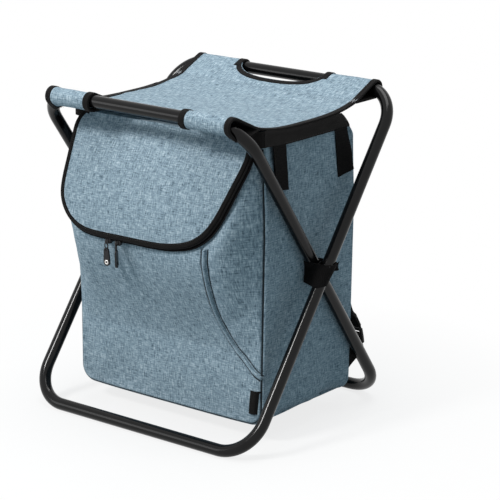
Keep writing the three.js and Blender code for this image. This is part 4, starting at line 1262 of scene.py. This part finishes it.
def make_coil(name, outward, behind, wide, deep, phase, body):
    line = resample(flap_line(outward), pitch=0.42)
    path = on_flap(line, behind)
    ridge = 1 + 0.3 * np.cos(lengths(path) * 2 * math.pi / 1.35 + phase)
    sections = circle(1.0, 8)[None] * np.stack([ridge * wide, ridge * deep], 1)[:, None]
    make(name, rod(path, (0, -1, 0), sections), NYLON, body, "black_webbing")


def make_lid():
    line = flap_line(-1.2)
    upper = resample(np.array([(line[-1][0] + 0.2, LID_TOP_Z), (line[0][0] - 0.2, LID_TOP_Z)]), pitch=3.4)
    flat, faces, _ = region(np.vstack([line, upper]), [], 3.4, [flap_line(-d) for d in (3, 5.5, 7.5, 10, 13)])
    x, z = flat[:, 0], flat[:, 1]
    from_edge = distance(flat, FLAP_EDGE, closed=False)
    puff = 2.2 * smooth(from_edge, 5, 45) * smooth(FLAP_TOP - z, 5, 50)
    bumps = rumple(x, z, [(1.6, 120, 60, 0.4, 51.0), (0.7, 40, 30, -0.3, 52.0)]) * smooth(from_edge, 8, 40)
    y = flap_face(x, z) - puff - bumps + 0.9 * bell(from_edge - 7.2, 1.5)
    y -= rumple(x, z, [(0.7, 12, 12, 0, 55.0)]) * bell(from_edge - 12, 7)
    part = thicken(stand(flat, y), faces, 3.8, flat)
    make("flap", part, MELANGE, LID, "melange_cloth", "lid_flap", sharp=55)

    path = on_flap(resample(flap_line(-2.9), pitch=2.2), 2.0)
    side, up = frames(path, (0, -1, 0))
    make("flap_binding", sweep(path, side, up, pill(5.6, 6.2, 1.7)), BINDING, LID, "black_webbing",
         "lid_edge_binding")
    sewn = dashes(path + side * 2.85 - up * 1.6, side, 3.2, width=0.55, height=0.45)
    make("flap_binding_stitches", sewn, THREAD_BLACK, LID, "black_webbing")
    make_coil("zip_coil_flap", 1.0, 3.4, 1.15, 0.95, 0, LID)

    line = flap_line(-12)
    inner_top = resample(np.array([(line[-1][0] - 3, 378), (line[0][0] + 3, 378)]), pitch=6)
    flat, faces, _ = region(np.vstack([line[line[:, 1] < 376], inner_top]), [], 6)
    points = on_flap(flat, 4.4 + np.abs(rumple(flat[:, 0], flat[:, 1], [(0.8, 20, 26, 0.3, 61.0)])))
    part = thicken(points, flipped(faces), -0.6, flat)
    make("flap_lining", part, FOIL, LID, "foil_liner", "lid_liner", sharp=55)


def make_zip():
    """The bag's side of the zip: a tape that stands up from the front panel round the mouth, and its coil."""
    reach = 1.4 + 3.2 * np.clip(-FLAP_SIDE[:, 1], 0, 1) + 3.6 * np.clip(FLAP_SIDE[:, 0], 0, 1)
    line = resample(FLAP_EDGE + FLAP_SIDE * reach[:, None], pitch=3)
    inner = resample(FLAP_EDGE - FLAP_SIDE * 2.0, count=len(line))
    head = flap_face(line[:, 0], line[:, 1]) + 5.6
    foot = np.maximum(front_face(inner[:, 0], inner[:, 1]) + 0.8, head + 1.5)
    share = np.linspace(0, 1, 8)[:, None]
    spots = line + (inner - line) * share[..., None]
    u, v = np.meshgrid(lengths(line), np.linspace(0, 9, 8))
    middle = np.abs(u.ravel() - lengths(line)[len(line) // 2]) < 1
    down = np.outer(middle, (0, 0, -1))
    part = sheet(spots[..., 0], head + (foot - head) * share, spots[..., 1], u, v, 0.9, down)
    make("zip_tape_bag", part, ZIP_TAPE, "bag", "black_webbing", "zip_tape", sharp=55)
    make_coil("zip_coil_bag", 1.2, 5.1, 0.95, 1.15, math.pi, "bag")


def make_piping():
    """The pocket's corded seam, a dark cord at each side of it as painted shade for the shadowed grooves
    there, and a row of stitches beyond each.
    """
    route = resample(PIPING, pitch=2.2)
    ahead = (0, -1, 0)
    swell = 1 + 0.04 * rumple(route[:, 0] * 3, route[:, 1] * 3, [(1.0, 10, 10, 0, 71.0)])
    cord = circle(1.0, 14)[None] * (2.6, 2.3) * swell[:, None, None]
    part = shaped(rod(on_front(route, 0.8), ahead, cord), lean)
    make("piping", part, MELANGE, "bag", "melange_cloth", "pocket_piping")
    turned = outward_of(route)
    # Dark cords in the grooves beside the piping: painted shade.
    groove_shades = [rod(on_front(route + turned * off, proud), ahead, circle(0.75, 8))
            for off, proud in ((-4.7, 1.3), (3.7, 0.6))]
    make("piping_shadow_cords", shaped(joined(groove_shades), lean), SEAM_SHADOW_PAINT, "bag", "melange_cloth")
    rows = []
    for off in (-6.6, 6.6):
        line = resample(np.stack([PIPING[:, 0] + off * 0.92, PIPING[:, 1] + off * 0.3], 1)[:-6], pitch=2)
        rows.append(dashes(on_front(line, 0.25), ahead, 3.4, width=0.5, height=0.32))
    make("piping_stitches", shaped(joined(rows), lean), THREAD_BLUE, "bag", "melange_cloth")


def make_label():
    """A folded woven tag, bare, sewn into the right seam."""
    u, z = np.meshgrid(np.linspace(0, 1, 12), np.linspace(42.8, 73.0, 14))
    x = 149.0 - 13.8 * u - 0.08 * (73.0 - z)
    y = BAG_FRONT + 1.6 - 5.2 * smooth(u, 0, 0.35) - 0.8 * np.sin(u * 3.0) + 0.2 * np.sin(z * 0.3)
    part = shaped(sheet(x, y, z, x, z, 1.0, (0, -1, 0)), lean)
    make("woven_tag", part, BINDING, "bag", "black_webbing", "side_label", sharp=50)


# A side band seen from above, as x and y, and its upper edge's height at some of its y
BAND_PLAN = [(125, -104.2), (138, -103.6), (147, -102.6), (152.6, -100.2), (155.0, -95), (155.1, -88),
             (155.1, 0), (154.9, 60), (154.2, 84.6)]
BAND_TOP = ([-120, 60, 66, 74, 82, 84.6], [409, 409, 406, 400.4, 392.4, 388])


def make_bands():
    """The black band along each side's top edge, which wraps the front corner."""
    plan = resample(spline(BAND_PLAN, 12), pitch=3.0)
    below = 385.3 + 3.0 * smooth(-plan[:, 1], 60, 92)
    above = np.minimum(seat_top(plan[:, 1]) - 0.9, np.interp(plan[:, 1], *BAND_TOP))
    run, share = np.meshgrid(lengths(plan), np.linspace(0, 1, 10))
    z = below + (above - below) * share
    crease = -0.7 * bell(share - 0.62, 0.07) - 1.2 * smooth(share, 0.8, 1.0)
    for hand, sign in HANDS:
        x = plan[:, 0] + crease + 0.35 * rumple(run, z, [(1.0, 26, 12, 0.2, 80.0 + sign)])
        part = sheet(sign * x, np.tile(plan[:, 1], (10, 1)), z, run, z, 1.3, (sign, 0, 0))
        make(f"side_band_{hand}", part, BINDING, "bag", "black_webbing", f"top_band_{hand}", sharp=55)
        row = np.stack([np.full(70, sign * (float(half_at(BAG_TOP - 11)) + 1.8)),
                        np.linspace(BAG_FRONT + 38, BAG_REAR - 15, 70), np.full(70, BAG_TOP - 11.3)], 1)
        sewn = dashes(row, (sign, 0, 0), 3.4)
        make(f"side_band_stitches_{hand}", sewn, THREAD_BLACK, "bag", "black_webbing")
        make_tabs(hand, sign)


def make_tabs(hand, sign):
    """The two hanging webbing tabs of one side. The rear one curls away from the bag."""
    a, d = np.meshgrid(np.linspace(-13, 13, 9), np.linspace(0, 1, 24))
    for end, middle, flare, reach, slant, phase, bow in (
        ("front", -66.5, 8.0, 60.0, -1.4, 0, 0.7),
        ("rear", 64.0, 6.5, 61.0, 3.6, 1.0, 1.4),
    ):
        z = BAG_TOP - 11.0 - d * reach + (a / 13) * slant * smooth(d, 0.7, 1.0)
        y = middle + a * (1 - 0.04 * np.sin(d * 3)) + flare * d ** 1.4
        off = 2.9 + 0.6 * np.sin(d * 5 + phase) * smooth(d, 0.3, 1) + bow * d ** 2 + 0.5 * (a / 13) ** 2 * d
        if end == "rear":
            off += 6.0 * smooth(a, -16, 14) * smooth(d, 0.05, 0.6)
        else:
            off -= 0.9 * smooth(d, 0.5, 1)
        x = sign * (half_at(z) + off - 1.0 * (1 - smooth(d, 0, 0.12)))
        part = sheet(x, y, z, a, d * reach, 1.5, (sign, 0, 0))
        make(f"hanging_tab_{end}_{hand}", part, WEBBING, "bag", "black_webbing",
             f"side_tab_{end}_{hand}", sharp=55)


def wrap_plan(level):
    """Round both tubes at one height, from the bag's side and back to it."""
    offset = (level - PIVOT_Z) * math.tan(LEAN)
    ring = circle(1.0, 64)
    deep = (TUBE + 1.3) / math.cos(LEAN)
    proud = TUBE + 1.7 + 1.6 * math.exp(-((level - PIVOT_Z) / 9) ** 2)
    outer = ring * (proud, deep) + (OUTER_WIDTH / 2, offset)
    inner = ring * (TUBE + 1.4, deep) + (INNER_WIDTH / 2, -offset)
    root = np.array([(153.5, -11.0), (153.5, 11.0)])
    belt = hull(np.vstack([outer, inner, root]))
    start = int(np.argmin(np.sum((belt - root[0]) ** 2, 1)))
    return resample(np.roll(belt, -start, 0), count=90)


def make_wraps():
    """Webbing drawn tight round both tubes where they cross, sewn to the bag's side, and its loose end."""
    heights = np.linspace(-1, 1, 17)
    share = np.linspace(0, 1, 12)[:, None]
    for hand, sign in HANDS:
        rows = []
        for h in heights:
            level = WRAP_Z + h * WRAP_HALF
            plan = wrap_plan(level)
            wavy = level + 0.8 * np.sin(np.linspace(0, 7, 90) + h)
            rows.append(np.stack([sign * plan[:, 0], plan[:, 1], wavy], 1))
        x, y, z = np.moveaxis(np.array(rows), 2, 0)
        v, u = np.meshgrid(np.linspace(0, 110, 90), heights * WRAP_HALF)
        part = sheet(x, y, z, u, v, 1.6, (sign, 0, 0))
        make(f"pivot_band_{hand}", part, WEBBING, "bag", "black_webbing", f"pivot_wrap_{hand}", sharp=55)
        rows = []
        for h in np.linspace(-1, 1, 9):
            level = WRAP_Z + 5.6 + h * 5.4
            base = np.array([185.0, 8.6 + 0.74 * math.hypot(level - PIVOT_Z, 2.0), level])
            out = base + (4.5, 5.4 + 1.2 * h, 1.6)
            bow = np.array([1.6, 0.4, 0])
            rows.append((base + (out - base) * share + bow * np.sin(share * math.pi)) * [sign, 1, 1])
        x, y, z = np.moveaxis(np.array(rows), 2, 0)
        v, u = np.meshgrid(np.linspace(0, 9, 12), np.linspace(-6, 6, 9))
        part = sheet(x, y, z, u, v, 1.2, (sign, 0, 0))
        make(f"pivot_band_tail_{hand}", part, WEBBING, "bag", "black_webbing", sharp=55)


STRAP_Y = BAG_REAR + 0.3
STRAP_TOP = BAG_TOP - 28
STRAP_LIFT_Z = 139.0
LOCK_Z = 97
X_AXIS = np.array([1.0, 0, 0])


def make_pad(hand, sign):
    def at(share, y, z):
        return (sign * (45 + 82 * share), y, z)

    lying = STRAP_Y + 8.25
    route = resample(spline([
        at(0, STRAP_Y + 4.8, STRAP_TOP), at(1 / 3, lying, (STRAP_TOP * 2 + STRAP_LIFT_Z) / 3),
        at(2 / 3, lying, (STRAP_TOP + STRAP_LIFT_Z * 2) / 3), at(1, lying, STRAP_LIFT_Z),
        at(1, STRAP_Y + 25.2, (STRAP_LIFT_Z + LOCK_Z) / 2), at(1, STRAP_Y + 42, LOCK_Z),
    ], 20), count=110)
    share = np.linspace(0, 1, len(route))
    side, up = frames(route, (1, 0, 0))
    width = 50 - 18 * share ** 3
    thick = 9 * (1 - share ** 4 / 2)
    ends = (np.sqrt(np.clip(1 - (1 - np.minimum(share * 26, 1)) ** 2, 0.02, 1))
            * np.sqrt(np.clip(1 - (1 - np.minimum((1 - share) * 40, 1)) ** 2, 0.15, 1)))
    c, s = circle(1.0, 40).T
    lens = np.stack([np.sign(c) * np.abs(c) ** 0.55, np.sign(s) * np.abs(s) ** 0.8], 1)
    sections = lens[None] * np.stack([width / 2, thick / 2 * ends], 1)[:, None]
    sections[..., 1] *= 1 - 0.25 * bell(np.abs(sections[..., 0]) - (width / 2 - 5)[:, None], 1.6)
    points, faces, cloth = sweep(route, side, up, sections)
    cloth[:, 0] = sections[..., 0].ravel()
    pad = make(f"pad_{hand}", (points, faces, cloth), PAD_CLOTH, "bag", "pad_cloth", f"shoulder_pad_{hand}")
    back = -1 if up[50][1] < 0 else 1
    rims, seams = [], []
    for edge in (-1, 1):
        line = route + side * (edge * (width / 2 - 0.6))[:, None]
        rims.append(sweep(line[3:-2], side[3:-2], up[3:-2], pill(2.6, 3.6, 1.2)))
        row = route + side * (edge * (width / 2 - 5))[:, None] + up * (back * thick / 2 * 0.8)[:, None]
        seams.append(dashes(row[4:-3], up[4:-3] * back, 3.6))
    make(f"pad_edge_{hand}", joined(rims), BINDING, "bag", "pad_cloth")
    make(f"pad_stitches_{hand}", joined(seams), THREAD_BLACK, "bag", "pad_cloth")


def make_lock(hand, sign):
    """A ladder lock, its three bars, two rails and lip, and the webbing from it to the bag's foot."""
    tilt = math.radians(15)
    top = np.array([sign * 128.0, STRAP_Y + 42, LOCK_Z - 1.125])
    down = np.array([0, math.sin(tilt), -math.cos(tilt)])
    out = np.array([0, math.cos(tilt), math.sin(tilt)])
    half, middle = 13.6, 11.0
    parts = []
    for along in (1.9, middle, 20.1):
        bar = top + down * along + np.linspace(-half, half, 14)[:, None] * X_AXIS
        section = pill(3.2, 3.2, 1.2) if along == middle else pill(3.8, 4.2, 1.2)
        parts.append(sweep(bar, down, np.cross(X_AXIS, down), section))
    bulge = 1 + 0.12 * np.sin(np.linspace(0, math.pi, 12))
    sections = pill(3.8, 4.6, 1.3)[None] * bulge[:, None, None]
    for edge in (-1, 1):
        rail = top + np.array([edge * half, 0, 0]) + down * np.linspace(0.4, 21.6, 12)[:, None]
        parts.append(sweep(rail, X_AXIS, np.cross(down, X_AXIS), sections))
    lip = top + down * 21.4 + out * np.linspace(0, 4.0, 6)[:, None]
    parts.append(sweep(lip, X_AXIS, np.cross(out, X_AXIS), pill(20, 2.2, 0.9)))
    make(f"lock_{hand}", joined(parts), NYLON, "bag", "black_nylon", f"ladder_lock_{hand}", sharp=50)

    foot = top + down * 11
    web = resample(spline([
        foot + down * -3 + out * 2.2, foot + out * 1.9 + down * 2, foot + down * 10.5 + out * 0.4,
        foot + down * 22 + out * -1.0, (sign * 132.0, STRAP_Y + 18, 53), (sign * 134.0, STRAP_Y + 1.4, 45.5),
    ], 14), count=60)
    make(f"webbing_{hand}", rod(web, (1, 0, 0), pill(25.4, 1.5, 0.7)), WEBBING, "bag", "black_webbing",
         f"strap_webbing_{hand}")


def make_straps():
    for hand, sign in HANDS:
        make_pad(hand, sign)
        make_lock(hand, sign)


# A zip slider's outline from the front, and its scale at each depth behind its face
SLIDER_SHAPE = [(-3.4, 0), (-4.7, -1.6), (-4.6, -3.2), (-3.6, -5.0), (-2.6, -6.6), (2.6, -6.6), (3.6, -5.0),
                (4.6, -3.2), (4.7, -1.6), (3.4, 0), (0, 0.5), (-3.4, 0)]
SLIDER_LAYERS = [(0.82, 0.0), (0.97, -0.55), (1.0, -1.3), (1.0, -4.6), (0.97, -5.4), (0.82, -6.0)]


def make_sliders():
    shape = anticlockwise(spline(SLIDER_SHAPE, 5)[:-1])
    middle, count = shape.mean(0), len(shape)
    for hand, x, flat_on in (("left", PULL_LEFT_X, True), ("right", PULL_RIGHT_X, False)):
        near = int(np.argmin(np.hypot(FLAP_EDGE[:, 0] - x, (FLAP_EDGE[:, 1] - FLAP_LOW) * 0.2)))
        z_top = float(FLAP_EDGE[near, 1]) - 2.6
        face = float(flap_face(x, FLAP_LOW + 6)) + 3.0
        rings = [stand(middle + (shape - middle) * scale + (x, z_top), face + 0.4 - depth)
                 for scale, depth in SLIDER_LAYERS]
        points = np.vstack(rings)
        faces = flipped(grid_faces(len(rings), count, True))
        faces.append(tuple(range(count)))
        faces.append(tuple(reversed(range(len(points) - count, len(points)))))
        turn = np.linspace(0.08, 0.92, 14) * math.pi
        arch = np.stack([np.full(14, x), face - 0.2 - 3.1 * np.sin(turn), z_top - 3.3 + 3.4 * np.cos(turn)], 1)
        part = joined([(points, faces, points[:, [0, 2]]), rod(arch, (1, 0, 0), pill(2.4, 1.2, 0.5))])
        make(f"slider_body_{hand}", part, ZINC, f"slider_{hand}", "zip_metal", f"zip_slider_{hand}", sharp=45)
        make_pull(hand, x, face, z_top, flat_on)


def make_pull(hand, x, face, z_top, flat_on):
    """A link, a tab with an eye at each end, and the rim of the lower eye. The right one hangs turned."""
    across, out = ((1.0, 0, 0), (0, -1.0, 0)) if flat_on else ((-0.42, 0.907, 0), (0.907, 0.42, 0))
    hang = np.array([x, face - 2.4, z_top - 5.2])
    down = unit(np.array([0.0, 0.06, -1.0]))
    across = unit(np.array(across) - down * np.dot(across, down))
    square = unit(np.cross(down, across))
    out = square if np.dot(square, out) > 0 else unit(np.cross(across, down))
    start, eye = hang + down * 6.3, 19.2

    def ring(centre, radius_a, radius_d, count):
        turn = np.linspace(0, 2 * math.pi, count + 1)[:-1, None]
        return centre + across * (radius_a * np.cos(turn)) + down * (radius_d * np.sin(turn))

    def hole(radius, at):
        turn = np.linspace(0, 2 * math.pi, 14)[:-1]
        return np.stack([radius * np.cos(turn), at + radius * np.sin(turn)], 1)

    link = hoop(ring(hang + down * 3.6, 2.5, -4.0, 24), out, circle(0.75, 8))
    top = np.linspace(-math.pi / 2, math.pi / 2, 9)
    low = np.linspace(math.pi / 2, 3 * math.pi / 2, 15)
    outline = anticlockwise(np.vstack([
        np.stack([4.0 * np.sin(top), 4.0 - 4.0 * np.cos(top)], 1),
        np.stack([5.1 * np.sin(low), eye - 5.1 * np.cos(low)], 1),
    ]))
    outline = resample(np.vstack([outline, outline[:1]]), pitch=1.0)[:-1]
    flat, tri, _ = region(outline, [hole(1.2, 2.6), hole(1.3, eye)], 1.4)
    front = start + across * flat[:, :1] + down * flat[:, 1:] + out * 1.1
    part = joined([link, thicken(front, facing(front, tri, out), 2.2, flat)])
    make(f"pull_{hand}_tab", part, ZINC, f"pull_{hand}", "zip_metal", f"zip_pull_{hand}", sharp=40)
    # The right pull's eyelet rims take the dark zip metal, the left's the bright eyelet metal: painted shade
    # on the right one, turned from the light.
    rims = [hoop(ring(start + down * eye, 2.2, 2.2, 28) + out * lift, out, circle(0.5, 10) * (2.0, 1.0))
            for lift in (1.1, -1.1)]
    make(f"pull_{hand}_eyelet", joined(rims), BRIGHT if flat_on else ZINC, f"pull_{hand}", "zip_metal")


def finish_hardware():
    for hand, _ in HANDS:
        for node, material in ((f"pivot_rivet_{hand}", RIVET), (f"pivot_washer_{hand}", NYLON)):
            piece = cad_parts[node]
            piece.data.materials.clear()
            piece.data.materials.append(material)


def make_floor():
    size, steps = 14.0, 8
    x, y = np.meshgrid(*[np.linspace(-size, size, steps + 1)] * 2)
    points = np.stack([x.ravel(), y.ravel(), np.full(x.size, -0.0004)], 1)
    mesh_piece("floor", points / MM, grid_faces(steps + 1, steps + 1), floor_material())


AIM = (0, 0, 0.25)
make_camera()
make_world()
make_light("key", (-0.62, -2.36, 2.36), AIM, (0.6, 0.6), 61, (1.0, 0.995, 0.985))
make_light("overhead", (0.1, 0.25, 2.85), AIM, (1.6, 1.6), 39)
make_light("front", (-1.92, -2.5, 0.8), (0, 0, 0.22), (1.2, 1.4), 13, (0.99, 0.995, 1.0))
for step in (
    make_floor, make_loops, make_sling, make_front, make_back, make_walls, make_seams, make_top, make_liner,
    make_lid, make_zip, make_piping, make_label, make_bands, make_wraps, make_straps, make_sliders,
    finish_hardware,
):
    step()

bpy.context.scene.view_settings.view_transform = "Standard"
